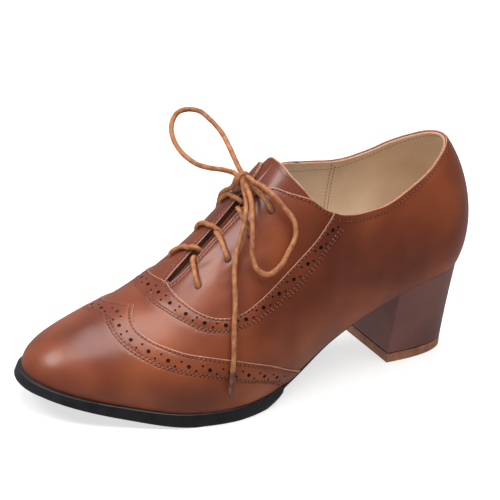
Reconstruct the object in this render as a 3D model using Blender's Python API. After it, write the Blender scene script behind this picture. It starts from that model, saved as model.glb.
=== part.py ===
"""A heeled oxford shoe for the left foot.

The toe points along -Y, the outer side of the foot is +X, and +Z is up. The origin is the middle of
the top piece's underside. The upper, tongue, insole, sole and heel are all worked out from one last:
a surface addressed by two shares, the way round the foot (0 at the back of the heel, 1 at the toe
tip) and the way up (0 at the feather edge, where upper meets sole, 1 on the ridge).
"""
import math

import bmesh
import bpy
from mathutils import Matrix, Vector
from mathutils.geometry import delaunay_2d_cdt

# Sizes of the last, in metres
LAST_LENGTH = 0.225
BALL_HALF_WIDTH = 0.039
SEAT_RISE = 0.0415
TOE_SPRING = 0.008
INSTEP_RISE = 0.096
TOE_DEPTH = 0.029

# Leather, sole and heel sizes, in metres
UPPER_WALL = 0.0022
FACING_SET_IN = 0.0008
CAP_STEP = 0.0007
STEP_WIDTH = 0.0004
EYELET_DIAMETER = 0.0032
TONGUE_WALL = 0.0016
INSOLE_THICKNESS = 0.002
INSOLE_INSET = 0.0006
FOREPART_THICKNESS = 0.0075
WAIST_THICKNESS = 0.003
SOLE_FLARE = 0.0014
TOE_FLARE = 0.0026
SOLE_EDGE_BEVEL = 0.0008
TOP_PIECE_LENGTH = 0.0395
TOP_PIECE_HALF_WIDTH = 0.0185
TOP_PIECE_THICKNESS = 0.005
HEEL_RAKE = 0.002
HEEL_COVER_INSET = 0.0004
LACE_DIAMETER = 0.0024
KNOT_SIZE = (0.0100, 0.0064, 0.0048)
AGLET_DIAMETER = 0.0026
AGLET_LENGTH = 0.0115
GAP = 0.0003
FACET_ALLOWANCE = 0.0002

# Spacing of the facets
GRID_STEP = 0.0062
LINE_STEP = 0.0031
LINE_CLEARANCE = 0.0026
NORMAL_STEP = 0.0005
EYELET_SIDES = 10
CROSSING_ARM_STEPS = 6
CROSSING_STEP = 0.003
LOOP_STEP = 0.0048
END_STEP = 0.006
TONGUE_STEPS = 13
TONGUE_ROWS = 7
INSOLE_STATIONS = 40
WAIST_STATIONS = 10
FOREPART_STATIONS = 36
HEEL_SIDE_POINTS = 13
HEEL_LEVELS = 6

# How far a border point is moved inward to read which piece it belongs to, as a share
BORDER_NUDGE = 0.002

# Shares along the last where its round ends begin, and how round the toe is
HEEL_ROUND = 0.12
TOE_ROUND = 0.70
TOE_ROUNDNESS = 2.2
RIDGE_BACK = 0.13
RIDGE_FRONT = 0.86
BELLY_PEAK = 6.75

# The last's sections. Half width, swing, ridge swing and belly are shares of the ball's half width;
# the rises are shares of the size that each is named for; squareness is the exponent of the section.
COLUMNS = ("along", "half_width", "swing", "seat", "spring", "instep", "toe_depth",
           "ridge_swing", "belly", "squareness")
SECTIONS = (
    (0.00, 0.69, 0.00, 1.00, 0.00, 0.85, 0.00, 0.000, 0.11, 2.00),
    (0.10, 0.72, 0.00, 1.03, 0.00, 0.74, 0.00, 0.000, 0.09, 2.00),
    (0.22, 0.70, 0.01, 0.82, 0.00, 0.86, 0.00, -0.025, 0.125, 1.85),
    (0.36, 0.67, 0.05, 0.455, 0.00, 1.17, 0.00, -0.075, 0.16, 2.00),
    (0.50, 0.83, 0.05, 0.06, 0.00, 1.00, 0.00, -0.05, 0.13, 2.30),
    (0.62, 0.99, 0.05, 0.00, 0.00, 0.70, 0.00, -0.09, 0.08, 2.15),
    (0.74, 1.00, -0.03, 0.00, 0.00, 0.15, 1.00, -0.045, 0.06, 2.40),
    (0.86, 0.91, -0.145, 0.00, 0.375, 0.00, 1.00, -0.115, 0.025, 2.30),
    (1.00, 0.87, -0.23, 0.00, 1.00, 0.00, 0.53, -0.205, 0.00, 2.30),
)

# Edges on the last, as (round, up) shares
OUTER_TOPLINE = ((0.00, 0.610), (0.05, 0.610), (0.10, 0.604), (0.15, 0.588), (0.20, 0.549),
                 (0.25, 0.494), (0.30, 0.438), (0.35, 0.386), (0.40, 0.372), (0.435, 0.425),
                 (0.460, 0.522), (0.480, 0.648), (0.492, 0.765), (0.502, 0.850), (0.514, 0.893))
INNER_TOPLINE = ((0.00, 0.610), (0.05, 0.613), (0.10, 0.609), (0.15, 0.586), (0.20, 0.545),
                 (0.25, 0.492), (0.30, 0.450), (0.35, 0.414), (0.40, 0.415), (0.435, 0.463),
                 (0.460, 0.558), (0.480, 0.680), (0.492, 0.800), (0.500, 0.868), (0.511, 0.903))
SLIT_EDGE = ((0.530, 0.930), (0.550, 0.957), (0.580, 0.974), (0.640, 0.980), (0.694, 0.980))
FACING_SEAM = ((0.435, 0.410), (0.458, 0.393), (0.490, 0.397), (0.552, 0.413), (0.588, 0.443),
               (0.618, 0.513), (0.640, 0.600), (0.670, 0.777), (0.700, 1.000))
CAP_EDGE = ((0.470, 0.000), (0.510, 0.062), (0.547, 0.133), (0.595, 0.247), (0.628, 0.323),
            (0.665, 0.407), (0.695, 0.490), (0.728, 0.600), (0.758, 0.753), (0.785, 1.000))
TONGUE_BACK_EDGE = ((0.457, 0.520), (0.464, 0.590), (0.472, 0.670), (0.480, 0.770), (0.484, 0.870),
                    (0.486, 1.000))
TONGUE_FRONT = 0.735
TONGUE_LOW_EDGE = 0.52
EYELETS = ((0.640, 0.767), (0.588, 0.747), (0.552, 0.740), (0.517, 0.725))

# Where each lace crossing meets the slit, as a share round the foot
CROSSING_PEAKS = (0.628, 0.590, 0.556, 0.530)
CROSSING_TOP = 0.985
BREAST_SHARE = 0.203
FOREPART_BACK_SHARE = 0.50
STEP_RUN = 0.0012
TOP_PIECE_ROUNDNESS = 2.8
HEEL_TAPER = 1.15

LEATHER_BROWN = (0.27, 0.075, 0.035)
SOLE_BLACK = (0.012, 0.012, 0.016)
HEEL_WINE = (0.085, 0.03, 0.028)
TOP_PIECE_TAN = (0.30, 0.13, 0.07)
LINING_BEIGE = (0.40, 0.24, 0.15)
LACE_TAN = (0.52, 0.24, 0.10)
AGLET_BROWN = (0.05, 0.018, 0.012)

HEEL_BACK = TOP_PIECE_LENGTH / 2 + HEEL_RAKE
PLANE_LENGTH, PLANE_HEIGHT = Vector((1.2 * LAST_LENGTH, 0.83 * INSTEP_RISE))
OUTER, INNER = 1, -1


def column(name):
    place = COLUMNS.index(name)
    return [row[place] for row in SECTIONS]


def hermite(stations, values, at):
    """A smooth curve through the values, read at one share."""
    steps = [b - a for a, b in zip(stations, stations[1:])]
    slopes = [(b - a) / step for a, b, step in zip(values, values[1:], steps)]
    tangents = [slopes[0]]
    for i in range(1, len(slopes)):
        blended = slopes[i - 1] * steps[i] + slopes[i] * steps[i - 1]
        tangents.append(blended / (steps[i - 1] + steps[i]))
    tangents.append(slopes[-1])
    i = 0
    while i < len(steps) - 1 and at > stations[i + 1]:
        i += 1
    t = (at - stations[i]) / steps[i]
    rise = t * t * (3 - 2 * t)
    start = t * (1 - t) ** 2
    end = t * t * (t - 1)
    return (values[i] * (1 - rise) + values[i + 1] * rise
            + steps[i] * (start * tangents[i] + end * tangents[i + 1]))


ALONG = column("along")
HALF_WIDTHS = [BALL_HALF_WIDTH * share for share in column("half_width")]
SWINGS = [BALL_HALF_WIDTH * share for share in column("swing")]
RIDGE_SWINGS = [BALL_HALF_WIDTH * share for share in column("ridge_swing")]
BELLIES = [BALL_HALF_WIDTH * share for share in column("belly")]
SQUARENESS = column("squareness")
FEATHER_HEIGHTS = [FOREPART_THICKNESS + SEAT_RISE * seat + TOE_SPRING * spring
                   for seat, spring in zip(column("seat"), column("spring"))]
RIDGE_HEIGHTS = [feather + INSTEP_RISE * instep + TOE_DEPTH * depth for feather, instep, depth
                 in zip(FEATHER_HEIGHTS, column("instep"), column("toe_depth"))]


def feather_height(y):
    """Height of the feather plane, which the sole's top follows, at a place along the shoe."""
    share = min(max((HEEL_BACK - y) / LAST_LENGTH, 0.0), 1.0)
    return hermite(ALONG, FEATHER_HEIGHTS, share)


def outline_x(share, side):
    """Sideways place of the feather edge at a share along the last."""
    width = hermite(ALONG, HALF_WIDTHS, share)
    if share < HEEL_ROUND:
        width *= math.sqrt(max(0.0, 1 - (1 - share / HEEL_ROUND) ** 2))
    if share > TOE_ROUND:
        far = (share - TOE_ROUND) / (1 - TOE_ROUND)
        width *= max(0.0, 1 - far ** TOE_ROUNDNESS) ** (1 / TOE_ROUNDNESS)
    return hermite(ALONG, SWINGS, share) + side * width


def share_along(around):
    return (1 - math.cos(math.pi * around)) / 2


def outline_normal(around, side):
    """Outward direction of the feather edge, level with the floor."""
    if around <= 0:
        return Vector((0, 1, 0))
    if around >= 1:
        return Vector((0, -1, 0))
    back = share_along(max(around - NORMAL_STEP, 0))
    front = share_along(min(around + NORMAL_STEP, 1))
    run = Vector((outline_x(front, side) - outline_x(back, side), (back - front) * LAST_LENGTH, 0))
    return Vector((-run.y * side, run.x * side, 0)).normalized()


def feather_point(around, side, outward=0.0):
    """A point of the feather edge, moved outward in plan, on the feather plane."""
    share = share_along(around)
    plan = Vector((outline_x(share, side), HEEL_BACK - share * LAST_LENGTH, 0))
    plan += outline_normal(around, side) * outward
    plan.z = feather_height(plan.y)
    return plan


def last_point(around, up, side):
    """A point on the last's outer surface."""
    share = share_along(around)
    ridge_share = RIDGE_BACK + (RIDGE_FRONT - RIDGE_BACK) * share
    foot = Vector((outline_x(share, side), -share * LAST_LENGTH))
    ridge = Vector((hermite(ALONG, RIDGE_SWINGS, ridge_share), -ridge_share * LAST_LENGTH))
    power = 2 / hermite(ALONG, SQUARENESS, ridge_share)
    angle = min(max(up, 0.0), 1.0) * math.pi / 2
    inward = max(math.cos(angle), 0.0) ** power if up < 1 else 0.0
    climb = math.sin(angle) ** power
    belly = hermite(ALONG, BELLIES, share) * BELLY_PEAK * climb * (1 - climb) ** 2
    plan = ridge + (foot - ridge) * inward + outline_normal(around, side).to_2d() * belly
    top_share = min(max(-plan.y / LAST_LENGTH, 0.0), 1.0)
    low = hermite(ALONG, FEATHER_HEIGHTS, share)
    high = hermite(ALONG, RIDGE_HEIGHTS, top_share)
    return Vector((plan.x, HEEL_BACK + plan.y, low + (high - low) * climb))


def side_normal(around, up, side):
    step = NORMAL_STEP
    round_run = (last_point(min(around + step, 1), up, side)
                 - last_point(max(around - step, 0), up, side))
    up_run = (last_point(around, min(up + step, 1), side)
              - last_point(around, max(up - step, 0), side))
    return (up_run.cross(round_run) * side).normalized()


def last_normal(around, up, side):
    """Outward direction of the last's surface, shared by both sides where they meet."""
    if up <= 0:
        return outline_normal(around, side)
    if up >= 1 or around <= 0 or around >= 1:
        both = side_normal(around, up, OUTER) + side_normal(around, up, INNER)
        if around <= 0 or around >= 1:
            both.x = 0
        return both.normalized()
    return side_normal(around, up, side)


def on_last(around, up, side, outward):
    """A point off the last's surface; at the feather edge it stays on the feather plane."""
    if up <= 0:
        place = feather_point(around, side, outward)
        place.z += GAP
        return place
    return last_point(around, up, side) + last_normal(around, up, side) * outward


# Flat pattern of one side of the upper

def to_plane(share_pair):
    return Vector((share_pair[0] * PLANE_LENGTH, share_pair[1] * PLANE_HEIGHT))


def from_plane(place):
    """The shares at a place of the flat pattern, exact on its borders."""
    shares = []
    for at, size in ((place.x, PLANE_LENGTH), (place.y, PLANE_HEIGHT)):
        share = min(max(at / size, 0.0), 1.0)
        if min(share, 1 - share) < 1e-5:
            share = round(share)
        shares.append(share)
    return shares


def smooth_line(shares):
    """An even run of points along a smooth curve through share pairs, ends kept."""
    knots = [to_plane(pair) for pair in shares]
    lengths = [0.0]
    for a, b in zip(knots, knots[1:]):
        lengths.append(lengths[-1] + (b - a).length)
    count = max(2, round(lengths[-1] / LINE_STEP))
    points = []
    for i in range(count + 1):
        at = lengths[-1] * i / count
        points.append(Vector((hermite(lengths, [k.x for k in knots], at),
                              hermite(lengths, [k.y for k in knots], at))))
    return points


def shifted_line(line, distance):
    """The line moved sideways, on the flat pattern."""
    moved = []
    for i, place in enumerate(line):
        run = (line[min(i + 1, len(line) - 1)] - line[max(i - 1, 0)]).normalized()
        moved.append(place + Vector((-run.y, run.x)) * distance)
    return moved


def inside(place, polygon):
    within = False
    before = polygon[-1]
    for point in polygon:
        if (point.y > place.y) != (before.y > place.y):
            cross = before.x + (point.x - before.x) * (place.y - before.y) / (point.y - before.y)
            if place.x < cross:
                within = not within
        before = point
    return within


def distance_to(place, line):
    nearest = 1.0
    for a, b in zip(line, line[1:]):
        run = b - a
        t = min(max((place - a).dot(run) / max(run.length_squared, 1e-12), 0.0), 1.0)
        nearest = min(nearest, (a + run * t - place).length)
    return nearest


def clip_to_ridge(line):
    """Brings a line's last point onto the ridge, the pattern's top border."""
    a, b = line[-2], line[-1]
    line[-1] = a + (b - a) * ((PLANE_HEIGHT - a.y) / (b.y - a.y))
    return snapped(line)


def snapped(line):
    """Puts points that lie next to the pattern's borders exactly on them."""
    for place in line:
        for axis, size in enumerate((PLANE_LENGTH, PLANE_HEIGHT)):
            for border in (0.0, size):
                if abs(place[axis] - border) < 1e-6:
                    place[axis] = border
    return line


def run_of(stops):
    """Straight stretches from stop to stop, the stops kept."""
    line = [stops[0]]
    for stop in stops[1:]:
        start = line[-1]
        count = max(1, round((stop - start).length / LINE_STEP))
        line += [start.lerp(stop, i / count) for i in range(1, count)] + [stop]
    return snapped(line)


def eyelet_rims(side):
    """The eyelets' round rims, drawn on the flat pattern."""
    rims = []
    span = NORMAL_STEP
    for around, up in EYELETS:
        across = last_point(around + span, up, side) - last_point(around - span, up, side)
        climb = last_point(around, up + span, side) - last_point(around, up - span, side)
        wide = EYELET_DIAMETER * span * PLANE_LENGTH / across.length
        high = EYELET_DIAMETER * span * PLANE_HEIGHT / climb.length
        turns = [math.tau * i / EYELET_SIDES for i in range(EYELET_SIDES)]
        centre = to_plane((around, up))
        rims.append([centre + Vector((wide * math.cos(t), high * math.sin(t))) for t in turns])
    return rims


def side_pattern(side):
    """The triangles of one side of the upper, flat, with the layer height of each corner.

    A triangle with all its corners on the centre line is left out, so that the sides join once.
    """
    topline = OUTER_TOPLINE if side == OUTER else INNER_TOPLINE
    collar = snapped(smooth_line(topline + SLIT_EDGE))
    seam_low = clip_to_ridge(smooth_line(FACING_SEAM))
    meet = min(range(len(collar)), key=lambda i: (collar[i] - seam_low[0]).length)
    seam_low[0] = collar[meet]
    seam_high = clip_to_ridge(shifted_line(seam_low, -STEP_WIDTH))
    seam_high[0] = collar[meet] + (collar[meet - 1] - collar[meet]).normalized() * STEP_WIDTH
    collar = collar[:meet] + [seam_high[0]] + collar[meet:]
    cap_low = clip_to_ridge(smooth_line(CAP_EDGE))
    cap_high = clip_to_ridge(shifted_line(cap_low, -STEP_WIDTH))
    cap_high[0] = cap_low[0] + Vector((STEP_WIDTH, 0))

    slit_end = Vector((collar[-1].x, PLANE_HEIGHT))
    toe_top, toe_foot, heel_foot = to_plane((1, 1)), to_plane((1, 0)), to_plane((0, 0))
    ridge = run_of([slit_end, seam_low[-1], seam_high[-1], cap_low[-1], cap_high[-1], toe_top])
    toe = run_of([toe_top, toe_foot])
    cap_foot = run_of([toe_foot, cap_high[0]])
    quarter_foot = run_of([cap_high[0], cap_low[0], heel_foot])
    heel = run_of([heel_foot, collar[0]])
    border = collar + ridge + toe[1:] + cap_foot[1:] + quarter_foot[1:] + heel[1:-1]
    cap = cap_high + ridge[ridge.index(cap_high[-1]) + 1:] + toe[1:] + cap_foot[1:-1]
    facing = (collar[collar.index(seam_low[0]):] + ridge[:ridge.index(seam_low[-1])]
              + seam_low[:0:-1])
    rims = eyelet_rims(side)

    places, heights = [], []

    def add(place, height):
        for i, old in enumerate(places):
            if (old - place).length < 1e-7:
                return i
        places.append(place)
        heights.append(height)
        return len(places) - 1

    def layer(place):
        if inside(place, facing):
            return -FACING_SET_IN
        return CAP_STEP if inside(place, cap) else 0.0

    steps = ((seam_low, -FACING_SET_IN), (seam_high, 0.0), (cap_low, 0.0), (cap_high, CAP_STEP))
    chains = [[add(place, height) for place in line] for line, height in steps]
    middle = sum(border, Vector((0, 0))) / len(border)
    loops = [[add(place, layer(place.lerp(middle, BORDER_NUDGE))) for place in border]]
    loops += [[add(place, -FACING_SET_IN) for place in rim] for rim in rims]
    fixed = [line for line, height in steps] + [border + border[:1]]
    fixed += [rim + rim[:1] for rim in rims]
    row_height = GRID_STEP * math.sqrt(0.75)
    for row in range(1, int(PLANE_HEIGHT / row_height) + 1):
        for step in range(1, int(PLANE_LENGTH / GRID_STEP) + 1):
            place = Vector(((step - 0.5 * (row % 2)) * GRID_STEP, row * row_height))
            if not inside(place, border):
                continue
            if min(distance_to(place, line) for line in fixed) > LINE_CLEARANCE:
                add(place, layer(place))
    edges = []
    for chain in chains:
        edges += zip(chain, chain[1:])
    for ring in loops:
        edges += zip(ring, ring[1:] + ring[:1])
    result = delaunay_2d_cdt(places, edges, [], 0, 1e-8, True)
    corners, triangles, sources = result[0], result[2], result[3]
    corner_heights = [heights[ids[0]] if ids else layer(place)
                      for place, ids in zip(corners, sources)]
    kept = []
    for triangle in triangles:
        centre = sum((corners[i] for i in triangle), Vector((0, 0))) / 3
        if all(corners[i].x == PLANE_LENGTH or corners[i].y == PLANE_HEIGHT for i in triangle):
            continue
        if inside(centre, border) and not any(inside(centre, rim) for rim in rims):
            kept.append(triangle)
    return corners, corner_heights, kept


# Objects and materials

def material(name, colour, roughness):
    made = bpy.data.materials.new(name)
    made.use_nodes = True
    shader = made.node_tree.nodes["Principled BSDF"]
    shader.inputs["Base Color"].default_value = (*colour, 1)
    shader.inputs["Roughness"].default_value = roughness
    shader.inputs["Metallic"].default_value = 0.0
    return made


def mesh_object(name, points, faces, finish):
    """One closed solid from points and faces, doubles welded and faces turned outward."""
    mesh = bpy.data.meshes.new(name)
    mesh.from_pydata([tuple(p) for p in points], [], faces)
    work = bmesh.new()
    work.from_mesh(mesh)
    bmesh.ops.remove_doubles(work, verts=work.verts, dist=1e-6)
    bmesh.ops.dissolve_degenerate(work, edges=work.edges, dist=1e-6)
    bmesh.ops.recalc_face_normals(work, faces=work.faces)
    if work.calc_volume(signed=True) < 0:
        bmesh.ops.reverse_faces(work, faces=work.faces)
    work.to_mesh(mesh)
    work.free()
    mesh.shade_smooth()
    mesh.set_sharp_from_angle(angle=math.radians(40))
    mesh.materials.append(finish)
    made = bpy.data.objects.new(name, mesh)
    bpy.context.collection.objects.link(made)
    return made


def shell(name, sheets, outer_depth, inner_depth, finish):
    """A wall from flat sheets of (corners, heights, triangles, side), joined where they meet."""
    index = {}
    outer, inner, faces = [], [], []
    for corners, heights, triangles, side in sheets:
        ids = []
        for place, height in zip(corners, heights):
            around, up = from_plane(place)
            place_out = on_last(around, up, side, outer_depth + height)
            key = tuple(round(value, 7) for value in last_point(around, up, side))
            if key not in index:
                index[key] = len(outer)
                outer.append(place_out)
                inner.append(on_last(around, up, side, inner_depth))
            ids.append(index[key])
        for a, b, c in triangles:
            face = (ids[a], ids[b], ids[c])
            if len(set(face)) == 3:
                faces.append(face if side == OUTER else face[::-1])
    count = len(outer)
    rim = {}
    for face in faces:
        for a, b in zip(face, face[1:] + face[:1]):
            if (b, a) in rim:
                del rim[(b, a)]
            else:
                rim[(a, b)] = True
    wall = [(b, a, a + count, b + count) for a, b in rim]
    inside_faces = [tuple(i + count for i in face[::-1]) for face in faces]
    return mesh_object(name, outer + inner, faces + inside_faces + wall, finish)


def loft(name, rings, finish, capped=True, end_faces=None):
    """A solid through closed rings with equal numbers of points."""
    size = len(rings[0])
    faces = []
    for r in range(len(rings) - 1):
        for i in range(size):
            j = (i + 1) % size
            faces.append((r * size + i, r * size + j, (r + 1) * size + j, (r + 1) * size + i))
    if capped:
        last = (len(rings) - 1) * size
        faces.append(tuple(range(size))[::-1])
        faces += end_faces or [tuple(range(last, last + size))]
    return mesh_object(name, [p for ring in rings for p in ring], faces, finish)


# Pieces

def make_upper():
    """The hollow upper: cap over vamp and quarters, and the facing let in under them."""
    sheets = [(*side_pattern(side), side) for side in (OUTER, INNER)]
    return shell("upper", sheets, 0.0, -UPPER_WALL, material("brown_leather", LEATHER_BROWN, 0.3))


def make_tongue():
    """The tongue: a curved sheet under the facings, a gap inside the upper's wall."""
    outer_depth = -(UPPER_WALL + GAP + FACET_ALLOWANCE)
    inner_depth = outer_depth - TONGUE_WALL
    ups = [pair[1] for pair in TONGUE_BACK_EDGE]
    backs = [pair[0] for pair in TONGUE_BACK_EDGE]
    grid = []
    for step in range(TONGUE_STEPS + 1):
        for row in range(-TONGUE_ROWS, TONGUE_ROWS + 1):
            up = 1 - (1 - TONGUE_LOW_EDGE) * abs(row) / TONGUE_ROWS
            back = hermite(ups, backs, up)
            around = back + (TONGUE_FRONT - back) * step / TONGUE_STEPS
            grid.append((around, up, OUTER if row >= 0 else INNER))
    wide = 2 * TONGUE_ROWS + 1
    outer = [on_last(*place, outer_depth) for place in grid]
    inner = [on_last(*place, inner_depth) for place in grid]
    count = len(grid)
    faces = []
    for step in range(TONGUE_STEPS):
        for row in range(wide - 1):
            a, b = step * wide + row, step * wide + row + 1
            faces.append((a, b, b + wide, a + wide))
            faces.append((a + count, a + wide + count, b + wide + count, b + count))
    rim = list(range(wide))
    rim += [step * wide + wide - 1 for step in range(1, TONGUE_STEPS + 1)]
    rim += [TONGUE_STEPS * wide + row for row in range(wide - 2, -1, -1)]
    rim += [step * wide for step in range(TONGUE_STEPS - 1, 0, -1)]
    for a, b in zip(rim, rim[1:] + rim[:1]):
        faces.append((a, a + count, b + count, b))
    return mesh_object("tongue", outer + inner, faces,
                       material("tongue_leather", LEATHER_BROWN, 0.35))


def make_insole():
    """The insole lies on the sole and the heel, inside the upper's wall."""
    inset = -(UPPER_WALL + INSOLE_INSET)
    corners = ((OUTER, GAP), (INNER, GAP), (INNER, GAP + INSOLE_THICKNESS),
               (OUTER, GAP + INSOLE_THICKNESS))
    rings = []
    for i in range(INSOLE_STATIONS + 1):
        around = i / INSOLE_STATIONS
        rings.append([feather_point(around, side, inset) + Vector((0, 0, lift))
                      for side, lift in corners])
    return loft("insole", rings, material("sock_lining", LINING_BEIGE, 0.7), False)


def sole_bottom(y, thickness):
    return max(feather_height(y) - thickness, 0.0)


def around_at(share):
    return math.acos(1 - 2 * share) / math.pi


def make_outsole():
    """The outsole: a full forepart that flares to the toe, then a thin waist up to the breast."""
    start = around_at(BREAST_SHARE)
    step = around_at(FOREPART_BACK_SHARE)
    stations = [(start + (step - start) * i / WAIST_STATIONS, WAIST_THICKNESS)
                for i in range(WAIST_STATIONS + 1)]
    step += STEP_RUN
    stations += [(step + (1 - step) * i / FOREPART_STATIONS, FOREPART_THICKNESS)
                 for i in range(FOREPART_STATIONS + 1)]
    rings = []
    for around, thickness in stations:
        forward = max(0.0, share_along(around) - TOE_ROUND) / (1 - TOE_ROUND)
        low_flare = SOLE_FLARE + TOE_FLARE * forward
        halves = []
        for side in (OUTER, INNER):
            top = feather_point(around, side, SOLE_FLARE + TOE_FLARE * forward / 2)
            edge = feather_point(around, side, low_flare)
            foot = feather_point(around, side, low_flare - SOLE_EDGE_BEVEL)
            edge.z = sole_bottom(edge.y, thickness) + SOLE_EDGE_BEVEL
            foot.z = sole_bottom(foot.y, thickness)
            halves.append([top, edge, foot])
        rings.append(halves[0] + halves[1][::-1])
    breast = HEEL_BACK - BREAST_SHARE * LAST_LENGTH - GAP
    for point in rings[0]:
        point.z += feather_height(breast) - feather_height(point.y)
        point.y = breast
    return loft("outsole", rings, material("black_sole", SOLE_BLACK, 0.35))


def heel_outline(level):
    """The heel's outline at a level from 0, on the top piece, to 1, at the seat."""
    breast = around_at(BREAST_SHARE)
    halves = []
    for side in (OUTER, INNER):
        half = []
        for i in range(HEEL_SIDE_POINTS + 1):
            t = i / HEEL_SIDE_POINTS
            seat = feather_point(breast * (1 - t), side, -HEEL_COVER_INSET)
            turn = t * math.pi / 2
            across = TOP_PIECE_HALF_WIDTH * max(math.cos(turn), 0.0) ** (2 / TOP_PIECE_ROUNDNESS)
            back = TOP_PIECE_LENGTH * (math.sin(turn) ** (2 / TOP_PIECE_ROUNDNESS) - 0.5)
            foot = Vector((side * across if t < 1 else 0.0, back, TOP_PIECE_THICKNESS + GAP))
            place = foot.lerp(seat, level ** HEEL_TAPER)
            place.z = foot.z + (seat.z - foot.z) * level
            half.append(place)
        halves.append(half)
    return halves[0] + halves[1][-2::-1]


def make_heel():
    """The covered heel block: rounded back, flat breast, top cut to the seat."""
    rings = [heel_outline(i / HEEL_LEVELS) for i in range(HEEL_LEVELS + 1)]
    size = len(rings[0])
    top = HEEL_LEVELS * size
    seat = [(top + i, top + i + 1, top + size - 2 - i, top + size - 1 - i)
            for i in range(HEEL_SIDE_POINTS - 1)]
    seat.append((top + HEEL_SIDE_POINTS - 1, top + HEEL_SIDE_POINTS, top + HEEL_SIDE_POINTS + 1))
    return loft("heel", rings, material("wine_heel_cover", HEEL_WINE, 0.3), end_faces=seat)


def make_top_piece():
    """The top piece: a slab with the heel's own outline."""
    base = heel_outline(0.0)
    rings = [[Vector((p.x, p.y, height)) for p in base] for height in (0.0, TOP_PIECE_THICKNESS)]
    return loft("top_piece", rings, material("tan_top_piece", TOP_PIECE_TAN, 0.5))


def tube(name, route, diameter, finish):
    """A round cord along a route, its ends capped."""
    curve = bpy.data.curves.new(name, "CURVE")
    curve.dimensions = "3D"
    curve.bevel_depth = diameter / 2
    curve.bevel_resolution = 2
    curve.use_fill_caps = True
    spline = curve.splines.new("POLY")
    spline.points.add(len(route) - 1)
    for point, place in zip(spline.points, route):
        point.co = (*place, 1)
    curve.materials.append(finish)
    made = bpy.data.objects.new(name, curve)
    bpy.context.collection.objects.link(made)
    return made


def smooth_route(points, step):
    """Points at an even step along a smooth curve through the route's own points."""
    lengths = [0.0]
    for a, b in zip(points, points[1:]):
        lengths.append(lengths[-1] + (Vector(b) - Vector(a)).length)
    count = max(2, round(lengths[-1] / step))
    route = []
    for i in range(count + 1):
        at = lengths[-1] * i / count
        route.append(Vector([hermite(lengths, [p[axis] for p in points], at) for axis in range(3)]))
    return route


def make_crossings(finish):
    """The lace crossings: each a strand from eyelet to eyelet that peaks over the slit."""
    rise = LACE_DIAMETER / 2 - FACING_SET_IN + GAP + FACET_ALLOWANCE
    for number, ((around, up), peak) in enumerate(zip(EYELETS, CROSSING_PEAKS)):
        arms = []
        for side in (OUTER, INNER):
            arm = []
            for i in range(CROSSING_ARM_STEPS + 1):
                t = i / CROSSING_ARM_STEPS
                arm.append(on_last(around + (peak - around) * t, up + (CROSSING_TOP - up) * t,
                                   side, rise))
            arms.append(arm)
        route = smooth_route(arms[0] + arms[1][::-1], CROSSING_STEP)
        tube("lace_crossing_%d" % (number + 1), route, LACE_DIAMETER, finish)


# The bow, in metres: the knot over the top crossing, and the routes of its loops and ends
KNOT_PLACE = (-0.0023, -0.1007, 0.1022)
KNOT_TILT = math.radians(47.8)
INNER_LOOP = (
    (-0.0066, -0.1027, 0.1037), (-0.0091, -0.1084, 0.1052), (-0.0109, -0.1138, 0.1060),
    (-0.0139, -0.1190, 0.1072), (-0.0197, -0.1225, 0.1094), (-0.0266, -0.1237, 0.1121),
    (-0.0359, -0.1216, 0.1157), (-0.0420, -0.1175, 0.1181), (-0.0464, -0.1115, 0.1197),
    (-0.0468, -0.1062, 0.1199), (-0.0447, -0.1015, 0.1191), (-0.0389, -0.0988, 0.1168),
    (-0.0308, -0.0973, 0.1137), (-0.0221, -0.0979, 0.1104), (-0.0140, -0.0989, 0.1069),
    (-0.0076, -0.0997, 0.1043),
)
OUTER_LOOP = (
    (0.0033, -0.0992, 0.1030), (0.0085, -0.0980, 0.1034), (0.0152, -0.0955, 0.1013),
    (0.0211, -0.0915, 0.0960), (0.0257, -0.0887, 0.0909), (0.0286, -0.0892, 0.0850),
    (0.0304, -0.0932, 0.0789), (0.0320, -0.0981, 0.0728), (0.0317, -0.1046, 0.0693),
    (0.0289, -0.1084, 0.0712), (0.0254, -0.1091, 0.0749), (0.0217, -0.1081, 0.0827),
    (0.0166, -0.1059, 0.0904), (0.0078, -0.1025, 0.0975), (0.0038, -0.1021, 0.1003),
)
OUTER_END = (
    (0.0012, -0.1023, 0.0989), (0.0046, -0.1029, 0.0959), (0.0130, -0.1076, 0.0900),
    (0.0157, -0.1105, 0.0828), (0.0182, -0.1138, 0.0747), (0.0231, -0.1169, 0.0676),
    (0.0300, -0.1195, 0.0578), (0.0371, -0.1230, 0.0453), (0.0414, -0.1245, 0.0358),
    (0.0436, -0.1257, 0.0286),
)
INNER_END = (
    (-0.0058, -0.1029, 0.0989), (-0.0078, -0.1032, 0.0958), (-0.0111, -0.1021, 0.0937),
    (-0.0147, -0.1017, 0.0913), (-0.0183, -0.1013, 0.0883), (-0.0214, -0.1000, 0.0853),
    (-0.0241, -0.0986, 0.0818), (-0.0274, -0.0970, 0.0760), (-0.0307, -0.0961, 0.0679),
    (-0.0339, -0.0959, 0.0574), (-0.0363, -0.0963, 0.0467), (-0.0377, -0.0965, 0.0369),
    (-0.0384, -0.0970, 0.0276),
)


def make_knot(finish):
    """The knot: a flattened lump that lies in the slope of the instep."""
    work = bmesh.new()
    bmesh.ops.create_uvsphere(work, u_segments=12, v_segments=8, radius=0.5)
    mesh = bpy.data.meshes.new("lace_knot")
    work.to_mesh(mesh)
    work.free()
    turn = Matrix.Rotation(KNOT_TILT, 4, "X")
    mesh.transform(Matrix.Translation(KNOT_PLACE) @ turn @ Matrix.Diagonal((*KNOT_SIZE, 1)))
    mesh.shade_smooth()
    mesh.materials.append(finish)
    bpy.context.collection.objects.link(bpy.data.objects.new("lace_knot", mesh))


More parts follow.
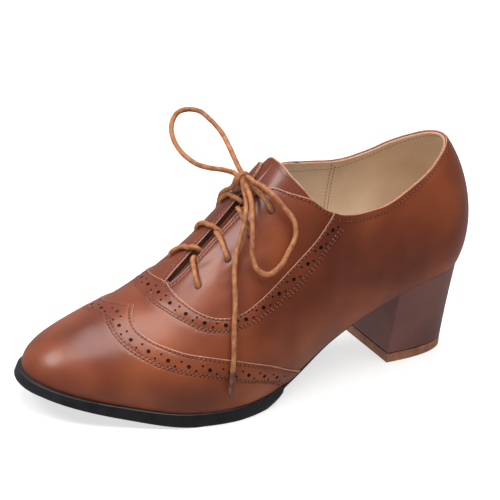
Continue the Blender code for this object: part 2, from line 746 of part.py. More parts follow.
def make_end(name, route, lace, aglet):
    """A lace end, and the aglet that carries on from its tip."""
    line = smooth_route(route, END_STEP)
    tube("lace_end_" + name, line, LACE_DIAMETER, lace)
    run = (line[-1] - line[-2]).normalized()
    start = line[-1] + run * GAP
    tip = start + run * AGLET_LENGTH
    tube("aglet_" + name, [start, start.lerp(tip, 0.5), tip], AGLET_DIAMETER, aglet)


def main():
    for old in list(bpy.data.objects):
        bpy.data.objects.remove(old)
    make_upper()
    make_tongue()
    make_insole()
    make_outsole()
    make_heel()
    make_top_piece()
    lace = material("waxed_lace", LACE_TAN, 0.5)
    aglet = material("plastic_aglet", AGLET_BROWN, 0.3)
    make_crossings(lace)
    make_knot(lace)
    for name, route in (("outer", OUTER_LOOP), ("inner", INNER_LOOP)):
        tube("lace_loop_" + name, smooth_route(route, LOOP_STEP), LACE_DIAMETER, lace)
    make_end("outer", OUTER_END, lace, aglet)
    make_end("inner", INNER_END, lace, aglet)


main()
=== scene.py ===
"""The heeled oxford shoe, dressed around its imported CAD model.

Metres throughout. The toe points along -Y, the outer side of this left shoe is +X, +Z is up.
Pieces follow in the order a maker puts them together, after the camera and the lace.
"""
import math

import bmesh
import bpy
import numpy as np
from mathutils import Matrix, Vector
from mathutils.geometry import delaunay_2d_cdt
from mathutils.kdtree import KDTree


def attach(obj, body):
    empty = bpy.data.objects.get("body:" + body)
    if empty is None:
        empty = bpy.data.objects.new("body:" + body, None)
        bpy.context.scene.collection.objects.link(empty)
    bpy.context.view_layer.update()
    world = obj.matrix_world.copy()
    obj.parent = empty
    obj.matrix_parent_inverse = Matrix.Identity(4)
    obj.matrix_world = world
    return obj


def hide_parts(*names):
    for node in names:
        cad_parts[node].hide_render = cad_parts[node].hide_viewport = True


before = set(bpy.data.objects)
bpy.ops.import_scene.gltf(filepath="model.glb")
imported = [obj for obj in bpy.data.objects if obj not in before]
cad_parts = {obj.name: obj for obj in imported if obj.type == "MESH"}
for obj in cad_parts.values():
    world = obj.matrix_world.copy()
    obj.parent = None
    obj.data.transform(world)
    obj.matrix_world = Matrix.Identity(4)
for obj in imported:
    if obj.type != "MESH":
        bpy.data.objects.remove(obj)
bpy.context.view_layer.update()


# Camera: a long lens from the outer front quarter, a little above the shoe and tilted to the right.

CAMERA_AZIMUTH = math.radians(56.2)
CAMERA_ELEVATION = math.radians(25.53)
CAMERA_ROLL = math.radians(6.23)
CAMERA_DISTANCE = 1.3
CAMERA_AIM = Vector((0.0, -0.09435, 0.0655))
LENS_MM = 198.9

back = Vector((math.sin(CAMERA_AZIMUTH) * math.cos(CAMERA_ELEVATION),
               -math.cos(CAMERA_AZIMUTH) * math.cos(CAMERA_ELEVATION), math.sin(CAMERA_ELEVATION)))
level = Vector((math.cos(CAMERA_AZIMUTH), math.sin(CAMERA_AZIMUTH), 0))
upright = back.cross(level)
right = level * math.cos(CAMERA_ROLL) + upright * math.sin(CAMERA_ROLL)
above = upright * math.cos(CAMERA_ROLL) - level * math.sin(CAMERA_ROLL)
lens = bpy.data.cameras.new("photo_camera")
lens.lens = LENS_MM
lens.sensor_width = 36
lens.clip_start = 0.05
lens.clip_end = 20
camera = bpy.data.objects.new("photo_camera", lens)
camera.matrix_world = Matrix.Translation(CAMERA_AIM + back * CAMERA_DISTANCE) @ Matrix(
    (right, above, back)).transposed().to_4x4()
bpy.context.collection.objects.link(camera)
bpy.context.scene.camera = camera


# Lace: one round waxed cotton braid, tied in a bow over the top crossing, with a moulded aglet on
# each end. The loops, the ends and the knot follow the CAD's own routes.

LACE_DIAMETER = 0.0024
AGLET_DIAMETER = 0.0026
AGLET_LENGTH = 0.0115
AGLET_GAP = 0.0003
LACE_SIDES = 14
LACE_STEP = 0.0006
INNER_LOOP = (
    (-0.0066, -0.1027, 0.1037), (-0.0091, -0.1084, 0.1052), (-0.0109, -0.1138, 0.1060),
    (-0.0139, -0.1190, 0.1072), (-0.0197, -0.1225, 0.1094), (-0.0266, -0.1237, 0.1121),
    (-0.0359, -0.1216, 0.1157), (-0.0420, -0.1175, 0.1181), (-0.0464, -0.1115, 0.1197),
    (-0.0468, -0.1062, 0.1199), (-0.0447, -0.1015, 0.1191), (-0.0389, -0.0988, 0.1168),
    (-0.0308, -0.0973, 0.1137), (-0.0221, -0.0979, 0.1104), (-0.0140, -0.0989, 0.1069),
    (-0.0076, -0.0997, 0.1043),
)
OUTER_LOOP = (
    (0.0033, -0.0992, 0.1030), (0.0085, -0.0980, 0.1034), (0.0152, -0.0955, 0.1013),
    (0.0211, -0.0915, 0.0960), (0.0257, -0.0887, 0.0909), (0.0286, -0.0892, 0.0850),
    (0.0304, -0.0932, 0.0789), (0.0320, -0.0981, 0.0728), (0.0317, -0.1046, 0.0693),
    (0.0289, -0.1084, 0.0712), (0.0254, -0.1091, 0.0749), (0.0217, -0.1081, 0.0827),
    (0.0166, -0.1059, 0.0904), (0.0078, -0.1025, 0.0975), (0.0038, -0.1021, 0.1003),
)
OUTER_END = (
    (0.0012, -0.1023, 0.0989), (0.0046, -0.1029, 0.0959), (0.0130, -0.1076, 0.0900),
    (0.0157, -0.1105, 0.0828), (0.0182, -0.1138, 0.0747), (0.0231, -0.1169, 0.0676),
    (0.0300, -0.1195, 0.0578), (0.0371, -0.1230, 0.0453), (0.0414, -0.1245, 0.0358),
    (0.0436, -0.1257, 0.0286),
)
INNER_END = (
    (-0.0058, -0.1029, 0.0989), (-0.0078, -0.1032, 0.0958), (-0.0111, -0.1021, 0.0937),
    (-0.0147, -0.1017, 0.0913), (-0.0183, -0.1013, 0.0883), (-0.0214, -0.1000, 0.0853),
    (-0.0241, -0.0986, 0.0818), (-0.0274, -0.0970, 0.0760), (-0.0307, -0.0961, 0.0679),
    (-0.0339, -0.0959, 0.0574), (-0.0363, -0.0963, 0.0467), (-0.0377, -0.0965, 0.0369),
    (-0.0384, -0.0970, 0.0276),
)


def linear(hex_colour):
    """An sRGB hex colour as the linear RGBA that a shader takes."""
    made = []
    for i in (1, 3, 5):
        value = int(hex_colour[i:i + 2], 16) / 255
        made.append(value / 12.92 if value <= 0.04045 else ((value + 0.055) / 1.055) ** 2.4)
    return (*made, 1.0)


def add_node(tree, kind, settings=None, **links):
    """Adds a node; a link is a value or another node's output, by the input's name or number."""
    node = tree.nodes.new(kind)
    for name, value in (settings or {}).items():
        setattr(node, name, value)
    for name, value in links.items():
        socket = node.inputs[int(name[1:])] if name[0] == "_" else node.inputs[name.replace("_", " ")]
        if isinstance(value, bpy.types.NodeSocket):
            tree.links.new(value, socket)
        else:
            socket.default_value = value
    return node


def new_finish(name):
    finish = bpy.data.materials.new(name)
    finish.use_nodes = True
    return finish, finish.node_tree, finish.node_tree.nodes["Principled BSDF"]


def ramp(tree, factor, stops):
    """A colour ramp through (place, hex colour) stops."""
    node = add_node(tree, "ShaderNodeValToRGB", _0=factor)
    places = node.color_ramp.elements
    while len(places) < len(stops):
        places.new(0.5)
    for element, (place, colour) in zip(places, stops):
        element.position = place
        element.color = linear(colour)
    return node.outputs["Color"]


def grey_ramp(tree, factor, low, high, start=0.0, end=1.0):
    """Maps a factor between two values, flat outside."""
    return add_node(tree, "ShaderNodeMapRange", {"clamp": True}, _0=factor, _1=start, _2=end,
                    _3=low, _4=high).outputs[0]


def mottled(name, scale, detail, colours, roughness, relief=None):
    """A finish coloured by a fine noise; relief is a texture, its inputs, a strength and a height."""
    finish, tree, shader = new_finish(name)
    place = add_node(tree, "ShaderNodeTexCoord").outputs["Object"]
    noise = add_node(tree, "ShaderNodeTexNoise", _0=place, Scale=scale, Detail=detail)
    tree.links.new(ramp(tree, noise.outputs[0], colours), shader.inputs["Base Color"])
    shader.inputs["Roughness"].default_value = roughness
    if relief:
        kind, inputs, strength, height = relief
        texture = add_node(tree, kind, _0=place, **inputs)
        bump = add_node(tree, "ShaderNodeBump", Strength=strength, Distance=height,
                        Height=texture.outputs[0])
        tree.links.new(bump.outputs[0], shader.inputs["Normal"])
    return finish, shader


def run_lengths(points):
    """How far along a line each of its points is."""
    return np.concatenate([[0], np.cumsum(np.linalg.norm(np.diff(points, axis=0), axis=1))])


def joined(pieces, name):
    """Makes several mesh objects one."""
    with bpy.context.temp_override(active_object=pieces[0], selected_editable_objects=pieces,
                                   selected_objects=pieces, object=pieces[0]):
        bpy.ops.object.join()
    pieces[0].name = pieces[0].data.name = name
    return pieces[0]


def hermite(stations, values, at):
    """A smooth curve through the values, read at many shares at once."""
    stations, values = np.asarray(stations, float), np.asarray(values, float)
    at = np.asarray(at, float)
    steps = np.diff(stations)
    slopes = np.diff(values) / steps
    tangents = np.empty(len(values))
    tangents[0], tangents[-1] = slopes[0], slopes[-1]
    tangents[1:-1] = (slopes[:-1] * steps[1:] + slopes[1:] * steps[:-1]) / (steps[:-1] + steps[1:])
    i = np.clip(np.searchsorted(stations, at, side="left") - 1, 0, len(steps) - 1)
    t = (at - stations[i]) / steps[i]
    rise = t * t * (3 - 2 * t)
    return (values[i] * (1 - rise) + values[i + 1] * rise
            + steps[i] * (t * (1 - t) ** 2 * tangents[i] + t * t * (t - 1) * tangents[i + 1]))


def smooth_route(points, step):
    """Points at an even step along a smooth curve through the route's own points."""
    points = np.asarray(points, float)
    lengths = run_lengths(points)
    at = np.linspace(0, lengths[-1], max(2, round(lengths[-1] / step)) + 1)
    return np.stack([hermite(lengths, points[:, axis], at) for axis in range(points.shape[1])],
                    axis=1)


def mesh_piece(name, points, faces, finishes, face_finish=None, smooth=True):
    """A mesh object with its place in its mesh."""
    mesh = bpy.data.meshes.new(name)
    mesh.from_pydata([tuple(map(float, p)) for p in points], [], [tuple(map(int, f)) for f in faces])
    for finish in finishes:
        mesh.materials.append(finish)
    if face_finish is not None:
        mesh.polygons.foreach_set("material_index", np.asarray(face_finish, np.int32))
    if smooth:
        mesh.shade_smooth()
        mesh.set_sharp_from_angle(angle=math.radians(38))
    mesh.update()
    piece = bpy.data.objects.new(name, mesh)
    bpy.context.collection.objects.link(piece)
    return piece


def tube(name, route, radii, finish, sides=LACE_SIDES):
    """A round cord along a route with a radius at each point, closed ends and UVs in metres."""
    runs = np.gradient(route, axis=0)
    runs /= np.linalg.norm(runs, axis=1, keepdims=True)
    across = np.cross(runs[0], (0.3, 0.2, 0.9))
    rings, turns = [], np.arange(sides) * math.tau / sides
    for place, run, radius in zip(route, runs, radii):
        across = across - run * (across @ run)
        across /= np.linalg.norm(across)
        other = np.cross(run, across)
        circle = np.outer(np.cos(turns), across) + np.outer(np.sin(turns), other)
        rings.append(place + circle * radius)
    points = np.concatenate(rings + [route[:1], route[-1:]])
    faces = []
    count = len(route)
    for r in range(count - 1):
        for i in range(sides):
            j = (i + 1) % sides
            faces.append((r * sides + i, r * sides + j, (r + 1) * sides + j, (r + 1) * sides + i))
    for i in range(sides):
        j = (i + 1) % sides
        faces.append((j, i, count * sides))
        faces.append(((count - 1) * sides + i, (count - 1) * sides + j, count * sides + 1))
    piece = mesh_piece(name, points, faces, [finish])
    lengths = run_lengths(route)
    layer = piece.data.uv_layers.new(name="along_lace")
    circumference = math.tau * float(np.max(radii))
    for face in piece.data.polygons:
        corners = list(face.vertices)
        wraps = any(v < count * sides and v % sides == 0 for v in corners) and any(
            v < count * sides and v % sides == sides - 1 for v in corners)
        for loop, v in zip(face.loop_indices, corners):
            if v >= count * sides:
                layer.data[loop].uv = (lengths[0 if v == count * sides else -1], 0)
                continue
            turn = v % sides
            if wraps and turn == 0:
                turn = sides
            layer.data[loop].uv = (lengths[v // sides], turn / sides * circumference)
    return piece


# Waxed cotton lace: tightly braided, faintly glossy where the wax sits; the braid is 0.8 mm a
# pick, drawn at 1.0 mm so that it shows.
waxed_cotton, tree, shader = new_finish("waxed_cotton_braid")
lace_uv = add_node(tree, "ShaderNodeUVMap", {"uv_map": "along_lace"}).outputs["UV"]
split = add_node(tree, "ShaderNodeSeparateXYZ", _0=lace_uv)
PICK_LENGTH = 0.0010
weave = []
for direction in (1, -1):
    slant = add_node(tree, "ShaderNodeMath", {"operation": "MULTIPLY_ADD"}, _0=split.outputs["Y"],
                     _1=float(direction), _2=split.outputs["X"]).outputs[0]
    turns = add_node(tree, "ShaderNodeMath", {"operation": "MULTIPLY"}, _0=slant,
                     _1=math.tau / PICK_LENGTH).outputs[0]
    wave = add_node(tree, "ShaderNodeMath", {"operation": "SINE"}, _0=turns).outputs[0]
    weave.append(wave)
crossed = add_node(tree, "ShaderNodeMath", {"operation": "MULTIPLY"}, _0=weave[0],
                   _1=weave[1]).outputs[0]
place = add_node(tree, "ShaderNodeTexCoord").outputs["Object"]
lace_mottle = add_node(tree, "ShaderNodeTexNoise", _0=place, Scale=420.0, Detail=3.0)
# The braid's raised crossings are painted lighter and its hollows darker, following the weave's height:
# painted shade over a random mottle.
braid_shade_and_mottle = add_node(tree, "ShaderNodeMath", {"operation": "MULTIPLY_ADD"}, _0=crossed, _1=0.22,
                     _2=lace_mottle.outputs[0]).outputs[0]
lace_colour = ramp(tree, braid_shade_and_mottle, ((0.25, "#6e3d21"), (0.5, "#9c6038"), (0.78, "#b67b4f")))
tree.links.new(lace_colour, shader.inputs["Base Color"])
lace_bump = add_node(tree, "ShaderNodeBump", Strength=0.55, Distance=0.00016, Height=crossed)
tree.links.new(lace_bump.outputs[0], shader.inputs["Normal"])
shader.inputs["Roughness"].default_value = 0.52
shader.inputs["IOR"].default_value = 1.45

# Aglet: shrunk-on cellulose acetate film, dark brown and glossy.
acetate, shader = mottled("acetate_film", 500.0, 2.0, ((0.3, "#4a2c25"), (0.7, "#6d4a40")), 0.28)
shader.inputs["IOR"].default_value = 1.48


def lace_radii(route):
    """The braid's slightly uneven radius along a route."""
    at = np.arange(len(route)) * LACE_STEP
    swell = 1 + 0.035 * np.sin(at * 900) * np.sin(at * 370 + 1.3) + 0.02 * np.sin(at * 140)
    return LACE_DIAMETER / 2 * swell


lace_pieces = {}
for name, route_points in (("loop_inner", INNER_LOOP), ("loop_outer", OUTER_LOOP),
                           ("end_outer", OUTER_END), ("end_inner", INNER_END)):
    route = smooth_route(route_points, LACE_STEP)
    piece = tube("bow_" + name, route, lace_radii(route), waxed_cotton)
    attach(piece, "root")
    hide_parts("lace_" + name)
    lace_pieces[name] = (piece, route)

AGLET_LAP = 0.0006
aglets = {}
for name in ("outer", "inner"):
    route = lace_pieces["end_" + name][1]
    run = route[-1] - route[-12]
    run /= np.linalg.norm(run)
    start = route[-1] + run * AGLET_GAP - run * AGLET_LAP
    shape = np.array(((0.0, 0.84), (0.03, 0.96), (0.08, 1.0), (0.5, 0.98), (0.9, 0.96), (0.96, 0.88),
                      (1.0, 0.6)))
    line = start + np.outer(shape[:, 0] * (AGLET_LENGTH + AGLET_LAP), run)
    piece = tube("aglet_film_" + name, line, shape[:, 1] * AGLET_DIAMETER / 2, acetate, 20)
    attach(piece, "root")
    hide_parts("aglet_" + name)
    aglets[name] = piece

# Knot: the lace's own turns. Two run on into the ends, one joins the loops, one binds them all.
KNOT_TURNS = (
    ((-0.0086, -0.0995, 0.1047), (-0.0045, -0.1008, 0.1046), (-0.0014, -0.1022, 0.1038),
     (0.0006, -0.1029, 0.1020), (0.0012, -0.1027, 0.1002), (0.0018, -0.1024, 0.0984)),
    ((0.0042, -0.0990, 0.1031), (0.0006, -0.0996, 0.1039), (-0.0024, -0.1010, 0.1041),
     (-0.0046, -0.1024, 0.1026), (-0.0055, -0.1030, 0.1006), (-0.0062, -0.1030, 0.0982)),
    ((-0.0070, -0.1036, 0.1039), (-0.0042, -0.1018, 0.1026), (-0.0010, -0.1014, 0.1012),
     (0.0018, -0.1018, 0.1008), (0.0046, -0.1022, 0.0997)),
    ((-0.0026, -0.0986, 0.1026), (-0.0020, -0.1000, 0.1050), (-0.0015, -0.1026, 0.1054),
     (-0.0015, -0.1044, 0.1034), (-0.0019, -0.1042, 0.1008), (-0.0026, -0.1022, 0.0990)),
)
parts = []
for number, turn_points in enumerate(KNOT_TURNS):
    route = smooth_route(turn_points, LACE_STEP)
    parts.append(tube("knot_turn_%d" % number, route, lace_radii(route), waxed_cotton))
knot = joined(parts, "bow_knot")
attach(knot, "root")
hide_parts("lace_knot")

for name, end, carried in (("loop_inner", "knot", [knot]), ("loop_outer", "knot", []),
                           ("end_outer", "fitting", [aglets["outer"]]),
                           ("end_inner", "fitting", [aglets["inner"]])):
    piece, route = lace_pieces[name]


# Upper, its last: every leather piece is worked out on one last, a surface addressed by two
# shares, round the foot (0 heel, 1 toe tip) and up (0 feather edge, 1 ridge), as the solids are.

LAST_LENGTH = 0.225
BALL_HALF_WIDTH = 0.039
SEAT_RISE = 0.0415
TOE_SPRING = 0.008
INSTEP_RISE = 0.096
TOE_DEPTH = 0.029
FOREPART_THICKNESS = 0.0075
HEEL_BACK = 0.0395 / 2 + 0.002
HEEL_ROUND, TOE_ROUND, TOE_ROUNDNESS = 0.12, 0.70, 2.2
RIDGE_BACK, RIDGE_FRONT, BELLY_PEAK = 0.13, 0.86, 6.75
NORMAL_STEP = 0.0005
OUTER, INNER = 1, -1
# along, half width, swing, seat, spring, instep, toe depth, ridge swing, belly, squareness
SECTIONS = np.array((
    (0.00, 0.69, 0.00, 1.045, 0.00, 0.835, 0.00, 0.000, 0.11, 2.00),
    (0.10, 0.72, 0.00, 1.03, 0.00, 0.74, 0.00, 0.000, 0.09, 2.00),
    (0.22, 0.70, 0.01, 0.82, 0.00, 0.86, 0.00, -0.025, 0.125, 1.85),
    (0.36, 0.67, 0.05, 0.455, 0.00, 1.17, 0.00, -0.075, 0.16, 2.00),
    (0.50, 0.83, 0.05, 0.06, 0.00, 1.00, 0.00, -0.05, 0.13, 2.30),
    (0.62, 0.99, 0.05, 0.00, 0.00, 0.70, 0.00, -0.09, 0.08, 2.15),
    (0.74, 1.00, -0.03, 0.00, 0.00, 0.15, 1.00, -0.045, 0.06, 2.40),
    (0.86, 0.91, -0.145, 0.00, 0.375, 0.00, 1.00, -0.115, 0.025, 2.30),
    (1.00, 0.87, -0.23, 0.00, 1.00, 0.00, 0.53, -0.205, 0.00, 2.30),
))
ALONG = SECTIONS[:, 0]
HALF_WIDTHS, SWINGS = SECTIONS[:, 1] * BALL_HALF_WIDTH, SECTIONS[:, 2] * BALL_HALF_WIDTH
RIDGE_SWINGS, BELLIES = SECTIONS[:, 7] * BALL_HALF_WIDTH, SECTIONS[:, 8] * BALL_HALF_WIDTH
FEATHER_HEIGHTS = FOREPART_THICKNESS + SEAT_RISE * SECTIONS[:, 3] + TOE_SPRING * SECTIONS[:, 4]
RIDGE_HEIGHTS = FEATHER_HEIGHTS + INSTEP_RISE * SECTIONS[:, 5] + TOE_DEPTH * SECTIONS[:, 6]
# Edges on the last, as (round, up) shares
OUTER_TOPLINE = ((0.00, 0.610), (0.05, 0.610), (0.10, 0.604), (0.15, 0.588), (0.20, 0.549),
                 (0.25, 0.494), (0.30, 0.438), (0.35, 0.386), (0.40, 0.372), (0.418, 0.388),
                 (0.437, 0.434), (0.462, 0.553), (0.474, 0.615), (0.485, 0.678), (0.495, 0.749),
                 (0.504, 0.820), (0.511, 0.866), (0.519, 0.897))
INNER_TOPLINE = ((0.00, 0.610), (0.05, 0.613), (0.10, 0.609), (0.15, 0.586), (0.20, 0.545),
                 (0.25, 0.492), (0.30, 0.450), (0.35, 0.414), (0.40, 0.415), (0.435, 0.463),
                 (0.460, 0.558), (0.480, 0.680), (0.490, 0.795), (0.497, 0.872), (0.507, 0.925))
OUTER_SLIT = ((0.532, 0.926), (0.552, 0.945), (0.580, 0.953), (0.640, 0.957), (0.675, 0.967),
              (0.697, 0.986))
INNER_SLIT = ((0.521, 0.956), (0.546, 0.970), (0.580, 0.975), (0.640, 0.974), (0.680, 0.978),
              (0.697, 0.986))
FACING_SEAM = ((0.435, 0.410), (0.458, 0.393), (0.490, 0.397), (0.552, 0.413), (0.588, 0.443),
               (0.618, 0.513), (0.640, 0.600), (0.670, 0.777), (0.700, 1.000))
CAP_EDGE = ((0.470, 0.000), (0.510, 0.062), (0.547, 0.133), (0.595, 0.247), (0.628, 0.323),
            (0.665, 0.407), (0.695, 0.490), (0.728, 0.600), (0.758, 0.753), (0.785, 1.000))
EYELETS = {OUTER: ((0.640, 0.770), (0.589, 0.750), (0.552, 0.740), (0.518, 0.730)),
           INNER: ((0.635, 0.780), (0.587, 0.764), (0.547, 0.760), (0.514, 0.745))}
PLANE_SIZE = np.array((0.27, 0.07968))


def feather_height(y):
    return hermite(ALONG, FEATHER_HEIGHTS, np.clip((HEEL_BACK - y) / LAST_LENGTH, 0, 1))


def outline_x(share, side):
    """Sideways place of the feather edge at a share along the last."""
    width = hermite(ALONG, HALF_WIDTHS, share)
    heel = np.clip(1 - share / HEEL_ROUND, 0, 1)
    toe = np.clip((share - TOE_ROUND) / (1 - TOE_ROUND), 0, 1)
    width = width * np.sqrt(1 - heel ** 2) * (1 - toe ** TOE_ROUNDNESS) ** (1 / TOE_ROUNDNESS)
    return hermite(ALONG, SWINGS, share) + side * width


def share_along(around):
    return (1 - np.cos(np.pi * around)) / 2


def unit(vectors):
    return vectors / np.maximum(np.linalg.norm(vectors, axis=-1, keepdims=True), 1e-12)


def outline_normal(around, side):
    """Outward direction of the feather edge, level with the floor."""
    rear = share_along(np.maximum(around - NORMAL_STEP, 0))
    front = share_along(np.minimum(around + NORMAL_STEP, 1))
    run_x = outline_x(front, side) - outline_x(rear, side)
    run_y = (rear - front) * LAST_LENGTH
    made = unit(np.stack([-run_y * side, run_x * side, np.zeros_like(run_x)], axis=-1))
    made[around <= 0] = (0, 1, 0)
    made[around >= 1] = (0, -1, 0)
    return made


def feather_point(around, side, outward):
    """A point of the feather edge, moved outward in plan, on the feather plane."""
    share = share_along(around)
    plan = np.stack([outline_x(share, side), HEEL_BACK - share * LAST_LENGTH, 0 * share], axis=-1)
    plan = plan + outline_normal(around, side) * np.asarray(outward)[..., None]
    plan[..., 2] = feather_height(plan[..., 1])
    return plan


def last_point(around, up, side):
    """A point on the last's outer surface."""
    share = share_along(around)
    ridge_share = RIDGE_BACK + (RIDGE_FRONT - RIDGE_BACK) * share
    power = 2 / hermite(ALONG, SECTIONS[:, 9], ridge_share)
    angle = np.clip(up, 0, 1) * math.pi / 2
    inward = np.where(up < 1, np.maximum(np.cos(angle), 0) ** power, 0)
    climb = np.sin(angle) ** power
    belly = hermite(ALONG, BELLIES, share) * BELLY_PEAK * climb * (1 - climb) ** 2
    away = outline_normal(around, side)
    ridge_x = hermite(ALONG, RIDGE_SWINGS, ridge_share)
    x = ridge_x + (outline_x(share, side) - ridge_x) * inward + away[..., 0] * belly
    y = -LAST_LENGTH * (ridge_share + (share - ridge_share) * inward) + away[..., 1] * belly
    low = hermite(ALONG, FEATHER_HEIGHTS, share)
    high = hermite(ALONG, RIDGE_HEIGHTS, np.clip(-y / LAST_LENGTH, 0, 1))
    return np.stack([x, HEEL_BACK + y, low + (high - low) * climb], axis=-1)


def side_normal(around, up, side):
    step = NORMAL_STEP
    round_run = (last_point(np.minimum(around + step, 1), up, side)
                 - last_point(np.maximum(around - step, 0), up, side))
    up_run = (last_point(around, np.minimum(up + step, 1), side)
              - last_point(around, np.maximum(up - step, 0), side))
    return unit(np.cross(up_run, round_run) * np.asarray(side)[..., None])


def last_normal(around, up, side):
    """Outward direction of the last's surface, shared by both sides where they meet."""
    made = side_normal(around, up, side)
    ends = (around <= 0) | (around >= 1)
    shared = (up >= 1) | ends
    both = side_normal(around, up, side) + side_normal(around, up, -side)
    both[ends, 0] = 0
    made = np.where(shared[..., None], unit(both), made)
    return np.where((up <= 0)[..., None], outline_normal(around, side), made)


def on_last(around, up, side, outward):
    """A point off the last's surface; at the feather edge it stays on the sole."""
    around, up, outward = np.broadcast_arrays(*(np.atleast_1d(np.asarray(v, float))
                                                for v in (around, up, outward)))
    side = np.broadcast_to(np.asarray(side, float), around.shape)
    made = last_point(around, up, side) + last_normal(around, up, side) * outward[..., None]
    foot = feather_point(around, side, outward)
    foot[..., 2] += 0.0001
    return np.where((up <= 0)[..., None], foot, made)


# Upper, its flat patterns: each leather piece is cut from a flat pattern and laid on the last.

LINE_STEP = 0.0011
# Width of the light strip along the top of a raw cut edge: a painted highlight in the raw edge's colour
EDGE_HIGHLIGHT_STRIP = 0.0003
EDGE_ROLL_WIDTH, EDGE_ROLL_DEPTH = 0.0007, 0.00024


def to_plane(pairs):
    return np.asarray(pairs, float) * PLANE_SIZE


def from_plane(places):
    shares = np.clip(np.asarray(places) / PLANE_SIZE, 0, 1)
    shares = np.where(shares < 1e-5, 0, shares)
    return np.where(shares > 1 - 1e-5, 1, shares)


def even_line(pairs, step=LINE_STEP):
    """An even run of plane points along a smooth curve through share pairs."""
    return smooth_route(to_plane(pairs), step)


def to_ridge(line):
    """Brings a line's last point onto the ridge, the pattern's top border."""
    line = line.copy()
    rise = (PLANE_SIZE[1] - line[-2, 1]) / (line[-1, 1] - line[-2, 1])
    line[-1] = line[-2] + (line[-1] - line[-2]) * rise
    return line


def straight(start, end, step=LINE_STEP):
    start, end = np.asarray(start, float), np.asarray(end, float)
    count = max(1, round(float(np.linalg.norm(end - start)) / step))
    return start + (end - start) * np.linspace(0, 1, count + 1)[:, None]


def on_side(places, side, outward=0.0):
    """World points of plane places on one side of the last."""
    shares = from_plane(places)
    return on_last(shares[:, 0], shares[:, 1], side, outward)


def plane_steps(places, side):
    """For each plane place, the plane step that moves 1 m along each of two tangents."""
    places = np.clip(places, 1e-4, PLANE_SIZE - 1e-4)
    step = 2e-5
    columns = []
    for axis in ((step, 0), (0, step)):
        ahead, behind = from_plane(places + axis), from_plane(places - np.array(axis))
        columns.append((last_point(ahead[:, 0], ahead[:, 1], side)
                        - last_point(behind[:, 0], behind[:, 1], side)) / (2 * step))
    return np.stack(columns, axis=2)


def shifted(line, side, distance):
    """A plane line moved sideways by a real distance; positive is to the left of its run."""
    jacobian = plane_steps(line, side)
    runs = np.gradient(line, axis=0)
    world_runs = unit(np.einsum("nij,nj->ni", jacobian, runs))
    up_runs = np.cross(unit(np.cross(jacobian[:, :, 0], jacobian[:, :, 1])), world_runs)
    return line + np.einsum("nij,nj->ni", np.linalg.pinv(jacobian), up_runs) * distance


def ring_at(place, side, radius, sides):
    """A plane outline that becomes a circle of a real radius on the last."""
    jacobian = plane_steps(place[None], side)[0]
    first = jacobian[:, 0] / np.linalg.norm(jacobian[:, 0])
    second = np.cross(np.cross(jacobian[:, 0], jacobian[:, 1]), first)
    second /= np.linalg.norm(second)
    turns = np.arange(sides) * math.tau / sides
    circle = np.outer(np.cos(turns), first) + np.outer(np.sin(turns), second)
    return place + circle @ np.linalg.pinv(jacobian).T * radius


def within(places, outline):
    """Which plane places lie inside a closed outline."""
    x, y = places[:, 0], places[:, 1]
    found = np.zeros(len(places), bool)
    for (ax, ay), (bx, by) in zip(outline, np.roll(outline, -1, axis=0)):
        if ay == by:
            continue
        spans = (ay > y) != (by > y)
        found ^= spans & (x < ax + (bx - ax) * (y - ay) / (by - ay))
    return found


def distance_to(places, lines):
    """Plane distance from each place to the nearest of some lines."""
    nearest = np.full(len(places), 1.0)
    for line in lines:
        for a, b in zip(line, line[1:]):
            run = b - a
            t = np.clip(((places - a) @ run) / max(run @ run, 1e-14), 0, 1)
            gap = places - a - t[:, None] * run
            nearest = np.minimum(nearest, np.hypot(gap[:, 0], gap[:, 1]))
    return nearest


def even_places(line, side, pitch, inset=0.5):
    """Plane places at an even real pitch along a plane line."""
    lengths = run_lengths(on_side(line, side))
    at = np.arange(pitch * inset, lengths[-1], pitch)
    return np.stack([np.interp(at, lengths, line[:, axis]) for axis in (0, 1)], axis=1)


edges = {}
for side, topline, slit in ((OUTER, OUTER_TOPLINE, OUTER_SLIT), (INNER, INNER_TOPLINE, INNER_SLIT)):
    collar = even_line(topline + slit)
    seam = to_ridge(even_line(FACING_SEAM))
    meet = int(np.argmin(np.linalg.norm(collar - seam[0], axis=1)))
    seam[0] = collar[meet]
    cap = to_ridge(even_line(CAP_EDGE))
    slit_start = int(np.argmin(np.linalg.norm(collar - to_plane(slit[0]), axis=1)))
    edges[side] = {"collar": collar, "seam": seam, "meet": meet, "cap": cap, "slit": slit_start}

toe_top, toe_foot, heel_foot = to_plane((1, 1)), to_plane((1, 0)), to_plane((0, 0))


